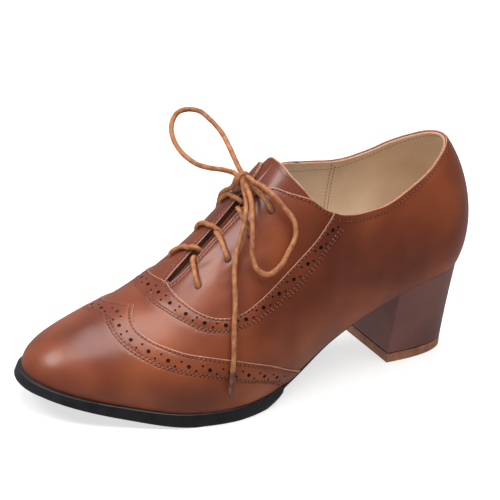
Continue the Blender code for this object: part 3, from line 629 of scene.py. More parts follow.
def cut_leather(name, outlines, outer_depth, inner_depth, finishes, step, lines=None, holes=None,
                shape=None, cut_edges=None, coarse=None, raw=None):
    """A leather piece: both sides of a pattern laid on the last, with a wall and cut edges.

    lines are drawn into the mesh, holes are left open, shape gives the relief at plane places,
    cut_edges are rolled slightly inward as a skived edge is, and raw ones get a painted highlight,
    a thin strip of the undyed leather's colour along their top.
    """
    raw = cut_edges if raw is None else raw
    bases, outers, inners, triangles, highlight_strips, punched = [], [], [], [], [], []
    count = 0
    for side in (OUTER, INNER):
        outline = outlines[side]
        drawn = list((lines or {}).get(side, []))
        rims = list((holes or {}).get(side, []))
        rolled = list((cut_edges or {}).get(side, []))
        for line in rolled:
            for distance in (EDGE_HIGHLIGHT_STRIP, EDGE_ROLL_WIDTH):
                for way in (1, -1):
                    drawn.append(shifted(line, side, way * distance))
        drawn = [line[within(line, outline)] for line in drawn]
        drawn = [line for line in drawn if len(line) > 1]
        low, high = outline.min(axis=0), outline.max(axis=0)
        row = step * math.sqrt(0.75)
        grid = []
        for r in range(int((high[1] - low[1]) / row) + 2):
            xs = np.arange(low[0] + (r % 2) * step / 2, high[0], step)
            grid.append(np.stack([xs, np.full(len(xs), low[1] + r * row)], axis=1))
        grid = np.concatenate(grid)
        grid = grid[within(grid, outline)]
        grid = grid[distance_to(grid, [np.vstack([outline, outline[:1]])]) > step * 0.45]
        near = [np.vstack([rim, rim[:1]]) for rim in rims]
        if near or drawn:
            grid = grid[distance_to(grid, drawn + near) > step * 0.4]
        if coarse:
            grid = grid[coarse(grid, side)]
        places, constraints = [], []

        def chain(line, closed):
            start = len(places)
            places.extend(map(tuple, line))
            ids = list(range(start, start + len(line)))
            constraints.extend(zip(ids, ids[1:] + ids[:1] if closed else ids[1:]))

        chain(outline, True)
        for rim in rims:
            chain(rim, True)
        for line in drawn:
            chain(line, False)
        places.extend(map(tuple, grid))
        result = delaunay_2d_cdt([Vector(p) for p in places], constraints, [], 0, 1e-7, True)
        corners = np.array([tuple(c) for c in result[0]])
        faces = np.array(result[2])
        for axis in (0, 1):
            for border in (0.0, PLANE_SIZE[axis]):
                close = np.abs(corners[:, axis] - border) < 2e-7
                corners[close, axis] = border
        middles = corners[faces].mean(axis=1)
        kept = within(middles, outline)
        for rim in rims:
            radius = np.linalg.norm(rim - rim.mean(axis=0), axis=1).max()
            close = np.linalg.norm(middles - rim.mean(axis=0), axis=1) < radius
            if close.any():
                kept[np.flatnonzero(close)[within(middles[close], rim)]] = False
        flat = ((corners[faces][:, :, 0] == PLANE_SIZE[0]).all(axis=1)
                | (corners[faces][:, :, 1] == PLANE_SIZE[1]).all(axis=1))
        faces = faces[kept & ~flat]
        shares = from_plane(corners)
        relief = shape(corners, side) if shape else np.zeros(len(corners))
        if rolled:
            away = distance_to(corners, rolled) / EDGE_ROLL_WIDTH
            relief = relief - EDGE_ROLL_DEPTH * np.clip(1 - away, 0, 1) ** 2
            # faces in the strip along a raw edge take the raw edge's colour: a painted highlight
            highlight_strips.append(distance_to(corners[faces].mean(axis=1), raw[side]) < EDGE_HIGHLIGHT_STRIP * 0.75)
        else:
            highlight_strips.append(np.zeros(len(faces), bool))
        punched.append(distance_to(corners, near) < 1e-5 if near else np.zeros(len(corners), bool))
        bases.append(last_point(shares[:, 0], shares[:, 1], np.full(len(corners), float(side))))
        depths = [depth(corners, side) if callable(depth) else depth
                  for depth in (outer_depth, inner_depth)]
        outers.append(on_last(shares[:, 0], shares[:, 1], side, depths[0] + relief))
        inners.append(on_last(shares[:, 0], shares[:, 1], side, depths[1]))
        faces = faces + count
        triangles.append(faces if side == OUTER else faces[:, ::-1])
        count += len(corners)
    bases, outers, inners, punched, highlight_strips, triangles = (
        np.concatenate(part) for part in (bases, outers, inners, punched, highlight_strips, triangles))
    keys = np.round(bases / 2e-6).astype(np.int64)
    first, back_to = np.unique(keys, axis=0, return_index=True, return_inverse=True)[1:]
    triangles = back_to.reshape(-1)[triangles]
    outers, inners, punched = outers[first], inners[first], punched[first]
    used = np.unique(triangles)
    renumber = np.full(len(first), -1)
    renumber[used] = np.arange(len(used))
    triangles, outers, inners = renumber[triangles], outers[used], inners[used]
    punched = punched[used]
    real = ((triangles[:, 0] != triangles[:, 1]) & (triangles[:, 1] != triangles[:, 2])
            & (triangles[:, 2] != triangles[:, 0]))
    triangles, highlight_strips = triangles[real], highlight_strips[real]
    size = len(used)
    directed = np.concatenate([triangles[:, [0, 1]], triangles[:, [1, 2]], triangles[:, [2, 0]]])
    forward = directed[:, 0] * size + directed[:, 1]
    backward = directed[:, 1] * size + directed[:, 0]
    rim_edges = directed[~np.isin(forward, backward)]
    wall = [(b, a, a + size, b + size) for a, b in rim_edges]
    faces = list(map(tuple, triangles)) + [tuple(t) for t in triangles[:, ::-1] + size] + wall
    kinds = [1 if raw else 0 for raw in highlight_strips] + [2] * len(triangles)
    # walls round punched holes take the near-black finish, painted shade in the hole; other cut walls
    # show the raw edge
    kinds += [3 if punched[a] and punched[b] else 1 for a, b in rim_edges]
    return mesh_piece(name, np.concatenate([outers, inners]), faces, finishes, kinds)


# Smooth calf, drum dyed cognac and padded darker by hand, then polished: fine pores, soft cloudy
# tone, a clear wax finish that mirrors the light broadly. Pores are 0.25 mm, drawn at 0.8 mm.
def polished_calf(name, dark, middle, light, gloss=0.30):
    finish, tree, shader = new_finish(name)
    place = add_node(tree, "ShaderNodeTexCoord").outputs["Object"]
    clouds = add_node(tree, "ShaderNodeTexNoise", _0=place, Scale=24.0, Detail=2.0, Roughness=0.5)
    colour = ramp(tree, clouds.outputs[0], ((0.25, dark), (0.5, middle), (0.75, light)))
    tree.links.new(colour, shader.inputs["Base Color"])
    pores = add_node(tree, "ShaderNodeTexNoise", _0=place, Scale=1300.0, Detail=0.0)
    grain = add_node(tree, "ShaderNodeBump", Strength=0.12, Distance=0.00006,
                     Height=pores.outputs[0])
    waves = add_node(tree, "ShaderNodeTexNoise", _0=place, Scale=130.0, Detail=2.0)
    soft = add_node(tree, "ShaderNodeBump", Strength=0.25, Distance=0.0004,
                    Height=waves.outputs[0], Normal=grain.outputs[0])
    tree.links.new(soft.outputs[0], shader.inputs["Normal"])
    rough = grey_ramp(tree, clouds.outputs[0], gloss - 0.01, gloss + 0.05, 0.3, 0.7)
    tree.links.new(rough, shader.inputs["Roughness"])
    shader.inputs["IOR"].default_value = 1.45
    shader.inputs["Specular IOR Level"].default_value = 0.42
    shader.inputs["Coat Weight"].default_value = 0.08
    shader.inputs["Coat Roughness"].default_value = 0.2
    return finish


calf = polished_calf("polished_calf_cognac", "#4e2317", "#6a321e", "#884729")

# Raw cut edge: the leather's undyed fibre, pale tan and matt, touched with a tinted edge dressing.
# Laid as a thin strip along the top of a cut edge, the same colour is a painted highlight.
raw_edge_and_highlight = mottled("raw_leather_edge_and_highlight", 1500.0, 2.0, ((0.3, "#8c5d46"), (0.7, "#b3866c")), 0.6)[0]

# Flesh side: the sueded back of each leather. The near-black walls of punched holes and eyelets
# are painted shade, the dark a deep hole shows; the same painted shade darkens the gaps down the
# slit, on both sides of the tongue's crest.
flesh_side = mottled("sueded_flesh_side", 1100.0, 2.0, ((0.3, "#38231b"), (0.7, "#4d3226")), 0.85)[0]
hole_and_gap_shade = mottled("painted_shade_hole_wall", 1100.0, 2.0, ((0.3, "#1a0b07"), (0.7, "#2c130c")),
                       0.85)[0]

# Pigskin lining: beige, matt and soft, with fine pores, drawn at 1.2 mm.
pigskin = mottled("beige_pigskin_lining", 45.0, 4.0, ((0.3, "#d4bca2"), (0.7, "#e2cfb8")), 0.68,
                  ("ShaderNodeTexVoronoi", {"Scale": 850.0}, 0.3, 0.0001))[0]

# Where the rows of stitches and the perforations run, as (round, up) shares on the last
WING_BAND = ((0.505, 0.003), (0.578, 0.113), (0.618, 0.193), (0.665, 0.272), (0.708, 0.356),
             (0.742, 0.457), (0.772, 0.575), (0.806, 0.725), (0.836, 0.850), (0.885, 1.000))
SEAM_BAND = ((0.417, 0.347), (0.443, 0.327), (0.492, 0.307), (0.532, 0.320), (0.570, 0.353),
             (0.600, 0.397), (0.633, 0.477), (0.672, 0.640), (0.702, 0.790), (0.745, 1.000))
STITCH_PITCH = 0.0021
BIG_HOLE = 0.00098
SMALL_HOLE = 0.00056
HOLE_PITCH = 0.0099
# How far in from an edge each row of stitches runs, and the groove that a row lies in
COLLAR_ROW, SLIT_NEAR_ROW, SLIT_FAR_ROW, TONGUE_ROW, LINING_ROW = 0.0016, 0.0014, 0.0030, 0.0016, 0.0026
GROOVE_WIDTH, GROOVE_DEPTH = 0.0005, 0.00010
NEEDLE_WIDTH, NEEDLE_DEPTH = 0.00055, 0.00026


def between(a, b, share):
    """A line part of the way from one edge to another, matched by share of length."""
    at = np.linspace(0, 1, 160)
    lines = []
    for line in (a, b):
        lengths = run_lengths(line)
        lines.append(np.stack([np.interp(at * lengths[-1], lengths, line[:, axis])
                               for axis in (0, 1)], axis=1))
    return lines[0] + (lines[1] - lines[0]) * share


rows = {}
perforations = {}
for side in (OUTER, INNER):
    mark = edges[side]
    wing_band = to_ridge(even_line(WING_BAND))
    seam_band = to_ridge(even_line(SEAM_BAND))
    collar, seam, cap, meet = mark["collar"], mark["seam"], mark["cap"], mark["meet"]
    drawn_rows = {
        "collar": collar[:meet] - (0, COLLAR_ROW),
        "slit_near": collar[meet + 1:] - (0, SLIT_NEAR_ROW),
        "slit_far": collar[mark["slit"]:] - (0, SLIT_FAR_ROW),
        "wing_edge": between(cap, wing_band, 0.13),
        "wing_inner": between(cap, wing_band, 0.86),
        "wing_outer": wing_band,
        "seam_edge": between(seam, seam_band, 0.13),
        "seam_inner": between(seam, seam_band, 0.85),
        "seam_outer": seam_band,
    }
    # every other point of a row is a needle hole, and the ones between are under the thread
    rows[side] = {name: even_places(line[::-1], side, STITCH_PITCH / 2, 0.5)
                  for name, line in drawn_rows.items()}
    perforations[side] = []
    for kind, edge, band, middle, first in (("wing", cap, wing_band, 0.56, 1.0),
                                            ("seam", seam, seam_band, 0.50, 0.5 - 0.25 * side)):
        small_start = (first + 0.5) % 1
        for share, start, radius in ((middle, first, BIG_HOLE), (middle - 0.15, small_start, SMALL_HOLE),
                                     (middle + 0.15, small_start, SMALL_HOLE)):
            line = between(edge, band, share)[::-1]
            spots = even_places(line, side, HOLE_PITCH, start)
            perforations[side].append((kind, spots[spots[:, 1] > PLANE_SIZE[1] * 0.02], radius))


def rims_of(band):
    """The outlines of a band's perforations on both sides."""
    made = {}
    for side in (OUTER, INNER):
        made[side] = []
        for kind, places, radius in perforations[side]:
            if kind == band:
                made[side] += [ring_at(place, side, radius, 12 if radius > 0.0007 else 8)
                               for place in places if place[1] < PLANE_SIZE[1] * 0.98]
    return made


def sewn(names):
    """The relief of rows of stitches: a soft groove, pulled in at each needle hole."""
    needles = {}
    for side in (OUTER, INNER):
        spots = np.concatenate([rows[side][name][::2] for name in names])
        tree = KDTree(len(spots))
        for i, (x, y) in enumerate(spots):
            tree.insert((x, y, 0), i)
        tree.balance()
        needles[side] = tree

    def relief(places, side):
        lines = [rows[side][name] for name in names]
        away = distance_to(places, lines)
        made = -GROOVE_DEPTH * np.exp(-(away / GROOVE_WIDTH) ** 2)
        for i in np.flatnonzero(away < 0.0016):
            near = needles[side].find((places[i, 0], places[i, 1], 0))[2]
            made[i] -= NEEDLE_DEPTH * math.exp(-(near / NEEDLE_WIDTH) ** 2)
        return made
    return relief


def row_lines(names):
    """The rows' centre lines with a line close by on each side, for the mesh."""
    made = {}
    for side in (OUTER, INNER):
        made[side] = []
        for name in names:
            line = rows[side][name]
            for distance in (-GROOVE_WIDTH, 0.0, GROOVE_WIDTH):
                made[side].append(shifted(line, side, distance) if distance else line)
    return made


# Soft creases, listed as (side, round, up, round, up, half width, depth): the leather's give
# where the foot bends, and over the facing between the eyelets. Depths below zero are ridges.
CREASES = (
    (OUTER, 0.600, 0.690, 0.560, 0.640, 0.0022, 0.00035),
    (OUTER, 0.585, 0.700, 0.548, 0.600, 0.0020, -0.00025),
    (OUTER, 0.572, 0.690, 0.535, 0.590, 0.0018, 0.00030),
    (OUTER, 0.610, 0.640, 0.570, 0.560, 0.0026, 0.00030),
    (OUTER, 0.555, 0.690, 0.520, 0.560, 0.0022, 0.00025),
    (OUTER, 0.655, 0.860, 0.620, 0.740, 0.0024, 0.00030),
    (OUTER, 0.640, 0.900, 0.600, 0.830, 0.0020, 0.00025),
    (INNER, 0.600, 0.690, 0.560, 0.640, 0.0022, 0.00035),
    (INNER, 0.572, 0.690, 0.535, 0.590, 0.0018, 0.00030),
    (INNER, 0.610, 0.640, 0.570, 0.560, 0.0026, 0.00030),
    (OUTER, 0.690, 0.300, 0.640, 0.420, 0.0034, 0.00020),
    (INNER, 0.690, 0.300, 0.640, 0.420, 0.0034, 0.00020),
    (OUTER, 0.330, 0.300, 0.410, 0.200, 0.0060, 0.00045),
    (INNER, 0.330, 0.320, 0.410, 0.220, 0.0060, 0.00045),
    (OUTER, 0.180, 0.420, 0.300, 0.340, 0.0070, 0.00030),
    (INNER, 0.180, 0.420, 0.300, 0.340, 0.0070, 0.00030),
)


def crease_relief(places, side):
    relief = np.zeros(len(places))
    for crease_side, a0, q0, a1, q1, width, depth in CREASES:
        if crease_side != side:
            continue
        start, end = to_plane((a0, q0)), to_plane((a1, q1))
        run = end - start
        t = ((places - start) @ run) / (run @ run)
        gap = places - start - np.clip(t, 0, 1)[:, None] * run
        taper = np.clip(1 - np.abs(t - 0.5) * 1.3, 0, 1)
        relief -= depth * np.exp(-(np.hypot(gap[:, 0], gap[:, 1]) / width) ** 2) * taper
    return relief


# Vamp and quarters: the main leather of the upper, one pair of quarters joined to the vamp, cut
# back round the lacing in a U, its edge raw, with a punched band along the seam.

BODY_WALL = 0.00075
outlines, cuts = {}, {}
for side in (OUTER, INNER):
    mark = edges[side]
    collar, seam, meet = mark["collar"], mark["seam"], mark["meet"]
    outlines[side] = np.vstack([
        collar[:meet], seam,
        straight(seam[-1], toe_top, 0.004)[1:], straight(toe_top, toe_foot, 0.004)[1:],
        straight(toe_foot, heel_foot, LINE_STEP * 2)[1:], straight(heel_foot, collar[0])[1:-1]])
    cuts[side] = [collar[:meet + 1], seam]


def fine_where_seen(places, side):
    """Keeps the fine grid except deep under the cap, where nothing shows."""
    cap = edges[side]["cap"]
    hidden = within(places, np.vstack([cap, [toe_top, toe_foot]]))
    deep = hidden & (distance_to(places, [cap]) > 0.006)
    cell = np.floor(places / 0.004).astype(int)
    lone = np.zeros(len(places), bool)
    lone[np.unique(cell, axis=0, return_index=True)[1]] = True
    return ~deep | lone


body_rows = ("collar", "seam_edge", "seam_inner", "seam_outer")
body_sewing = sewn(body_rows)


def body_shape(places, side):
    return body_sewing(places, side) + crease_relief(places, side)


vamp = cut_leather("vamp_and_quarters", outlines, 0.0, -BODY_WALL,
                   [calf, raw_edge_and_highlight, flesh_side, hole_and_gap_shade], 0.0015, row_lines(body_rows),
                   rims_of("seam"), body_shape, cuts, fine_where_seen,
                   {side: cuts[side][1:] for side in (OUTER, INNER)})
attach(vamp, "root")
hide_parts("upper")


# Facing: the inset lacing panel, let in under the vamp's raw edge, with four punched eyelets a
# side and a row of stitches round the slit.

FACING_SET_IN = 0.0008
FACING_WALL = 0.00065
EYELET_RADIUS = 0.0016
outlines, cuts, eyelet_rims, slit_rows = {}, {}, {}, {}
for side in (OUTER, INNER):
    mark = edges[side]
    collar, seam, meet = mark["collar"], mark["seam"], mark["meet"]
    tucked = to_ridge(seam + np.array((0.0036, -0.003)))
    start = meet - 4
    slit_end = np.array((collar[-1, 0], PLANE_SIZE[1]))
    outlines[side] = np.vstack([
        collar[start:], straight(collar[-1], slit_end, 0.0008)[1:],
        straight(slit_end, tucked[-1])[1:], tucked[-2:0:-1]])
    cuts[side] = [collar[start:]]
    eyelet_rims[side] = [ring_at(to_plane(pair), side, EYELET_RADIUS, 18) for pair in EYELETS[side]]

facing_rows = ("slit_near", "slit_far")
facing_sewing = sewn(facing_rows)


def facing_shape(places, side):
    """Sewing, creases, and the dimples that the drawn lace presses round the eyelets."""
    relief = facing_sewing(places, side) + crease_relief(places, side)
    for pair in EYELETS[side]:
        gap = places - to_plane(pair)
        relief -= 0.00030 * np.exp(-(np.hypot(gap[:, 0], gap[:, 1]) / 0.0026) ** 2)
    return relief


facing = cut_leather("lacing_facing", outlines, -FACING_SET_IN, -FACING_SET_IN - FACING_WALL,
                     [calf, raw_edge_and_highlight, flesh_side, hole_and_gap_shade], 0.0012, row_lines(facing_rows),
                     eyelet_rims, facing_shape, cuts)
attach(facing, "root")


# Wing cap: the toe's leather, laid over the vamp with its raw winged edge on top, its band punched
# in the brogue way: one large hole, then two small.

CAP_STEP = 0.0007
outlines, cuts = {}, {}
for side in (OUTER, INNER):
    cap = edges[side]["cap"]
    outlines[side] = np.vstack([
        cap, straight(cap[-1], toe_top)[1:], straight(toe_top, toe_foot)[1:],
        straight(toe_foot, cap[0])[1:-1]])
    cuts[side] = [cap]
wing_rows = ("wing_edge", "wing_inner", "wing_outer")
wing_sewing = sewn(wing_rows)


def cap_shape(places, side):
    return wing_sewing(places, side) + crease_relief(places, side)


cap_piece = cut_leather("wing_cap", outlines, CAP_STEP, 0.00002,
                        [calf, raw_edge_and_highlight, flesh_side, hole_and_gap_shade], 0.0014, row_lines(wing_rows),
                        rims_of("wing"), cap_shape, cuts)
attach(cap_piece, "root")


# Lining: beige pigskin behind the whole upper, its own edge showing inside the topline.

UPPER_WALL = 0.0022
outlines, cuts = {}, {}
for side in (OUTER, INNER):
    collar = edges[side]["collar"].copy()
    collar[edges[side]["slit"]:, 1] -= 0.0014
    slit_end = np.array((collar[-1, 0], PLANE_SIZE[1]))
    outlines[side] = np.vstack([
        collar, straight(collar[-1], slit_end, 0.0008)[1:], straight(slit_end, toe_top, 0.003)[1:],
        straight(toe_top, toe_foot, 0.003)[1:], straight(toe_foot, heel_foot, 0.003)[1:],
        straight(heel_foot, collar[0], 0.0015)[1:-1]])
    cuts[side] = [collar]


def lining_outer(places, side):
    """Just inside the facing where that lies, and closer to the quarters elsewhere."""
    mark = edges[side]
    region = np.vstack([mark["collar"][mark["meet"] - 8:], [(mark["collar"][-1, 0], PLANE_SIZE[1])],
                        (mark["seam"] + np.array((0.006, -0.005)))[::-1]])
    return np.where(within(places, region), -0.0015, -0.0010)


lining = cut_leather("lining", outlines, lining_outer, -UPPER_WALL,
                     [flesh_side, raw_edge_and_highlight, pigskin, hole_and_gap_shade], 0.0026, None, eyelet_rims, None,
                     cuts)
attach(lining, "root")


# Tongue: its own curved leather under the facings, with a stitched raw back edge.

TONGUE_DEPTH = 0.0027
TONGUE_WALL = 0.0016
TONGUE_BACK_EDGE = ((0.457, 0.520), (0.464, 0.590), (0.472, 0.670), (0.480, 0.770), (0.484, 0.870),
                    (0.486, 1.000))
TONGUE_FRONT, TONGUE_LOW_EDGE = 0.735, 0.52
backs = np.array(TONGUE_BACK_EDGE)
row_shares = np.concatenate([np.linspace(0, 0.14, 18), np.linspace(0.16, 1, 34)])
TONGUE_ROWS = len(row_shares) - 1
steps = np.concatenate([(0, 0.005, 0.011, 0.017, 0.023, 0.029, 0.036), np.linspace(0.05, 1, 62)])
TONGUE_STEPS = len(steps) - 1
steps = steps[:, None]
row_numbers = np.arange(-TONGUE_ROWS, TONGUE_ROWS + 1)
ups = 1 - (1 - TONGUE_LOW_EDGE) * row_shares[np.abs(row_numbers)]
back_at = hermite(backs[:, 1], backs[:, 0], ups)
arounds = back_at + (TONGUE_FRONT - back_at) * steps
ups = np.broadcast_to(ups, arounds.shape)
sides = np.broadcast_to(np.where(row_numbers >= 0, 1.0, -1.0), arounds.shape)
flat = [part.reshape(-1) for part in (arounds, ups, sides)]
from_back = (flat[0] - hermite(backs[:, 1], backs[:, 0], flat[1])) * PLANE_SIZE[0]
roll = -0.0003 * np.clip(1 - from_back / 0.0008, 0, 1) ** 2
trough = -0.00015 * np.exp(-((from_back - TONGUE_ROW) / GROOVE_WIDTH) ** 2)
wave = 0.00025 * np.sin(flat[1] * 23 + flat[2]) * np.clip(from_back / 0.01, 0, 1)
# Down the slit the tongue stands up in a narrow crest, with a trough at each facing's edge whose
# faces are painted near-black: painted shade in the gap.
SLIT_MIDDLE, GAP_REACH, GAP_DEPTH = 0.0007, 0.0034, 0.0009
CREST_HEIGHT, CREST_WIDTH = 0.0017, 0.00075
across_slit = flat[2] * (1 - flat[1]) * PLANE_SIZE[1] - SLIT_MIDDLE
in_slit = np.clip((flat[0] - 0.535) / 0.01, 0, 1) * np.clip((0.71 - flat[0]) / 0.02, 0, 1)
gap_depth = np.where(np.abs(across_slit) < GAP_REACH, GAP_DEPTH, 0.0)
crest = CREST_HEIGHT * np.exp(-(across_slit / CREST_WIDTH) ** 2)
wave += in_slit * (crest - gap_depth)
outer_points = on_last(flat[0], flat[1], flat[2], -TONGUE_DEPTH + roll + trough + wave)
inner_points = on_last(flat[0], flat[1], flat[2], -TONGUE_DEPTH - TONGUE_WALL)
# The trough faces take the near-black finish: painted shade in the gap beside the crest.
slit_shade_faces = (in_slit > 0.4) & (np.abs(across_slit) > 0.0008) & (np.abs(across_slit) < GAP_REACH)
wide, total = len(row_numbers), len(flat[0])
faces, kinds = [], []
for step in range(TONGUE_STEPS):
    for column in range(wide - 1):
        a, b = step * wide + column, step * wide + column + 1
        faces.append((a, b, b + wide, a + wide))
        faces.append((a + total, a + wide + total, b + wide + total, b + total))
        # the first step along the back edge takes the raw edge's colour, a painted highlight strip
        shown = 1 if step == 0 else 3 if slit_shade_faces[a] and slit_shade_faces[b] else 0
        kinds += [shown, 2]
rim = list(range(wide)) + [s * wide + wide - 1 for s in range(1, TONGUE_STEPS + 1)]
rim += [TONGUE_STEPS * wide + c for c in range(wide - 2, -1, -1)]
rim += [s * wide for s in range(TONGUE_STEPS - 1, 0, -1)]
for a, b in zip(rim, rim[1:] + rim[:1]):
    faces.append((a, a + total, b + total, b))
    kinds.append(1)
tongue = mesh_piece("tongue_leather", np.concatenate([outer_points, inner_points]), faces,
                    [calf, raw_edge_and_highlight, flesh_side, hole_and_gap_shade], kinds)
checked = bmesh.new()
checked.from_mesh(tongue.data)
if checked.calc_volume(signed=True) < 0:
    bmesh.ops.reverse_faces(checked, faces=checked.faces)
    checked.to_mesh(tongue.data)
checked.free()
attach(tongue, "root")
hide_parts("tongue")
for side in (OUTER, INNER):
    ups = np.linspace(1, TONGUE_LOW_EDGE + 0.03, 40)
    back_row = np.stack([hermite(backs[:, 1], backs[:, 0], ups), ups], axis=1)
    rows[side]["tongue"] = even_places(to_plane(back_row) + (TONGUE_ROW, 0), side, STITCH_PITCH / 2)
    collar, meet = edges[side]["collar"], edges[side]["meet"]
    rows[side]["lining_collar"] = even_places(collar[:meet] - (0, LINING_ROW), side, STITCH_PITCH / 2)
for name, around in (("lining_back_seam", 0.324), ("lining_front_seam", 0.331)):
    seam_line = straight(to_plane((around, 0.03)), to_plane((around, 0.425)))
    rows[INNER][name] = even_places(seam_line, INNER, STITCH_PITCH / 2)


# Stitches: a waxed polyester thread, mid brown, lock-stitched at 2.1 mm through the leathers, each
# stitch sunk between its two needle holes; the lining's own rows are beige.

THREAD_DIAMETER = 0.00055
STITCH_LENGTH = 0.00175
NEEDLE_HOLE = 0.00028

brown_thread, beige_thread = (
    mottled(name, 2500.0, 1.0, ((0.3, dark), (0.7, light)), 0.42)[0]
    for name, dark, light in (("waxed_brown_thread", "#4a1e10", "#8f5234"),
                              ("waxed_beige_thread", "#8a6f55", "#c2a483")))
# A near-black finish for the discs at needle holes and under perforations: painted shade.
hole_shade_finish = mottled("shadowed_hole", 900.0, 1.0, ((0.3, "#120705"), (0.7, "#1f0e0a")), 0.9)[0]


def repeat_tree(name, make_shape, finish, sizes):
    """A node tree that puts one small shape on each point, turned by its run and away vectors."""
    tree = bpy.data.node_groups.new(name, "GeometryNodeTree")
    tree.interface.new_socket("Geometry", in_out="INPUT", socket_type="NodeSocketGeometry")
    for label, value in sizes:
        socket = tree.interface.new_socket(label, in_out="INPUT", socket_type="NodeSocketFloat")
        socket.default_value = value
    tree.interface.new_socket("Geometry", in_out="OUTPUT", socket_type="NodeSocketGeometry")
    entry, leave = tree.nodes.new("NodeGroupInput"), tree.nodes.new("NodeGroupOutput")
    vectors = []
    for label in ("run", "away"):
        node = add_node(tree, "GeometryNodeInputNamedAttribute", {"data_type": "FLOAT_VECTOR"},
                        _0=label)
        vectors.append(node.outputs["Attribute"])
    scale = add_node(tree, "GeometryNodeInputNamedAttribute", {"data_type": "FLOAT"}, _0="size")
    turn = add_node(tree, "FunctionNodeAxesToRotation", {"primary_axis": "Z", "secondary_axis": "X"},
                    _0=vectors[1], _1=vectors[0])
    shape = make_shape(tree, entry)
    placed = add_node(tree, "GeometryNodeInstanceOnPoints", Points=entry.outputs["Geometry"],
                      Instance=shape, Rotation=turn.outputs[0], Scale=scale.outputs["Attribute"])
    real = add_node(tree, "GeometryNodeRealizeInstances", _0=placed.outputs[0])
    smooth = add_node(tree, "GeometryNodeSetShadeSmooth", Geometry=real.outputs[0])
    done = add_node(tree, "GeometryNodeSetMaterial", Geometry=smooth.outputs[0], Material=finish)
    tree.links.new(done.outputs[0], leave.inputs[0])
    return tree


def thread_shape(tree, entry):
    ball = add_node(tree, "GeometryNodeMeshUVSphere", Segments=6, Rings=5, Radius=0.5)
    size = add_node(tree, "ShaderNodeCombineXYZ", X=entry.outputs["Stitch length"],
                    Y=entry.outputs["Thread diameter"], Z=entry.outputs["Thread diameter"])
    return add_node(tree, "GeometryNodeTransform", Geometry=ball.outputs[0],
                    Scale=size.outputs[0]).outputs[0]


def disc_shape(tree, entry):
    disc = add_node(tree, "GeometryNodeMeshCircle", {"fill_type": "TRIANGLE_FAN"}, Vertices=10)
    return add_node(tree, "GeometryNodeTransform", Geometry=disc.outputs[0]).outputs[0]


def repeated(name, tree, places, runs, aways, sizes, inputs):
    """Plain mesh of one shape repeated at the places."""
    mesh = bpy.data.meshes.new(name + "_points")
    mesh.from_pydata([tuple(map(float, p)) for p in places], [], [])
    for label, values, kind in (("run", runs, "FLOAT_VECTOR"), ("away", aways, "FLOAT_VECTOR"),
                                ("size", sizes, "FLOAT")):
        field = mesh.attributes.new(label, kind, "POINT")
        key = "vector" if kind == "FLOAT_VECTOR" else "value"
        field.data.foreach_set(key, np.asarray(values, np.float32).reshape(-1))
    carrier = bpy.data.objects.new(name + "_points", mesh)
    bpy.context.collection.objects.link(carrier)
    modifier = carrier.modifiers.new("repeat", "NODES")
    modifier.node_group = tree
    for item in tree.interface.items_tree:
        if item.in_out == "INPUT" and item.name in inputs:
            modifier[item.identifier] = inputs[item.name]
    evaluated = carrier.evaluated_get(bpy.context.evaluated_depsgraph_get())
    made = bpy.data.meshes.new_from_object(evaluated)
    carrier.modifiers.remove(modifier)
    bpy.data.objects.remove(carrier)
    made.name = name
    piece = bpy.data.objects.new(name, made)
    bpy.context.collection.objects.link(piece)
    return piece


def normals_at(places, side):
    shares = from_plane(places)
    return last_normal(shares[:, 0], shares[:, 1], np.full(len(shares), float(side)))


def sew(name, depths, finish, inside=False):
    """One object of stitches along named rows, whose needle holes are every other point."""
    tree = repeat_tree(name, thread_shape, finish,
                       (("Stitch length", STITCH_LENGTH), ("Thread diameter", THREAD_DIAMETER)))
    made = []
    for side in (OUTER, INNER):
        for row, depth in depths.items():
            line = rows[side].get(row)
            if line is None:
                continue
            middles = line[1:-1:2]
            ends = on_side(line[::2], side, depth)[:len(middles) + 1]
            away = normals_at(middles, side) * (-1 if inside else 1)
            made.append((on_side(middles, side, depth), unit(np.diff(ends, axis=0)), away))
    places, runs, aways = (np.concatenate(part) for part in zip(*made))
    piece = repeated(name, tree, places, runs, aways, np.ones(len(places)),
                     {"Stitch length": STITCH_LENGTH, "Thread diameter": THREAD_DIAMETER})
    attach(piece, "root")


ROW_DEPTHS = {"collar": 0.0, "seam_edge": 0.0, "seam_inner": 0.0, "seam_outer": 0.0,
              "slit_near": -FACING_SET_IN, "slit_far": -FACING_SET_IN, "wing_edge": CAP_STEP,
              "wing_inner": CAP_STEP, "wing_outer": CAP_STEP, "tongue": -TONGUE_DEPTH}
sew("upper_stitches", {row: depth - 0.00012 for row, depth in ROW_DEPTHS.items()}, brown_thread)
sew("lining_stitches", {row: -UPPER_WALL - 0.00002 for row in (
    "lining_collar", "lining_back_seam", "lining_front_seam")}, beige_thread, inside=True)

# Near-black discs sunk at every needle hole: painted shade where the thread goes into the leather.
shade_disc_tree = repeat_tree("round_shade_discs", disc_shape, hole_shade_finish, ())
made = []
for side in (OUTER, INNER):
    for row, depth in ROW_DEPTHS.items():
        made.append((on_side(rows[side][row][::2], side, depth - 0.00019),
                     normals_at(rows[side][row][::2], side)))
holes, aways = (np.concatenate(part) for part in zip(*made))
needle_hole_shade = repeated("needle_hole_shade", shade_disc_tree, holes, unit(np.cross(aways, (0.1, 0.9, 0.2))),
                        aways, np.full(len(holes), NEEDLE_HOLE), {})
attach(needle_hole_shade, "root")

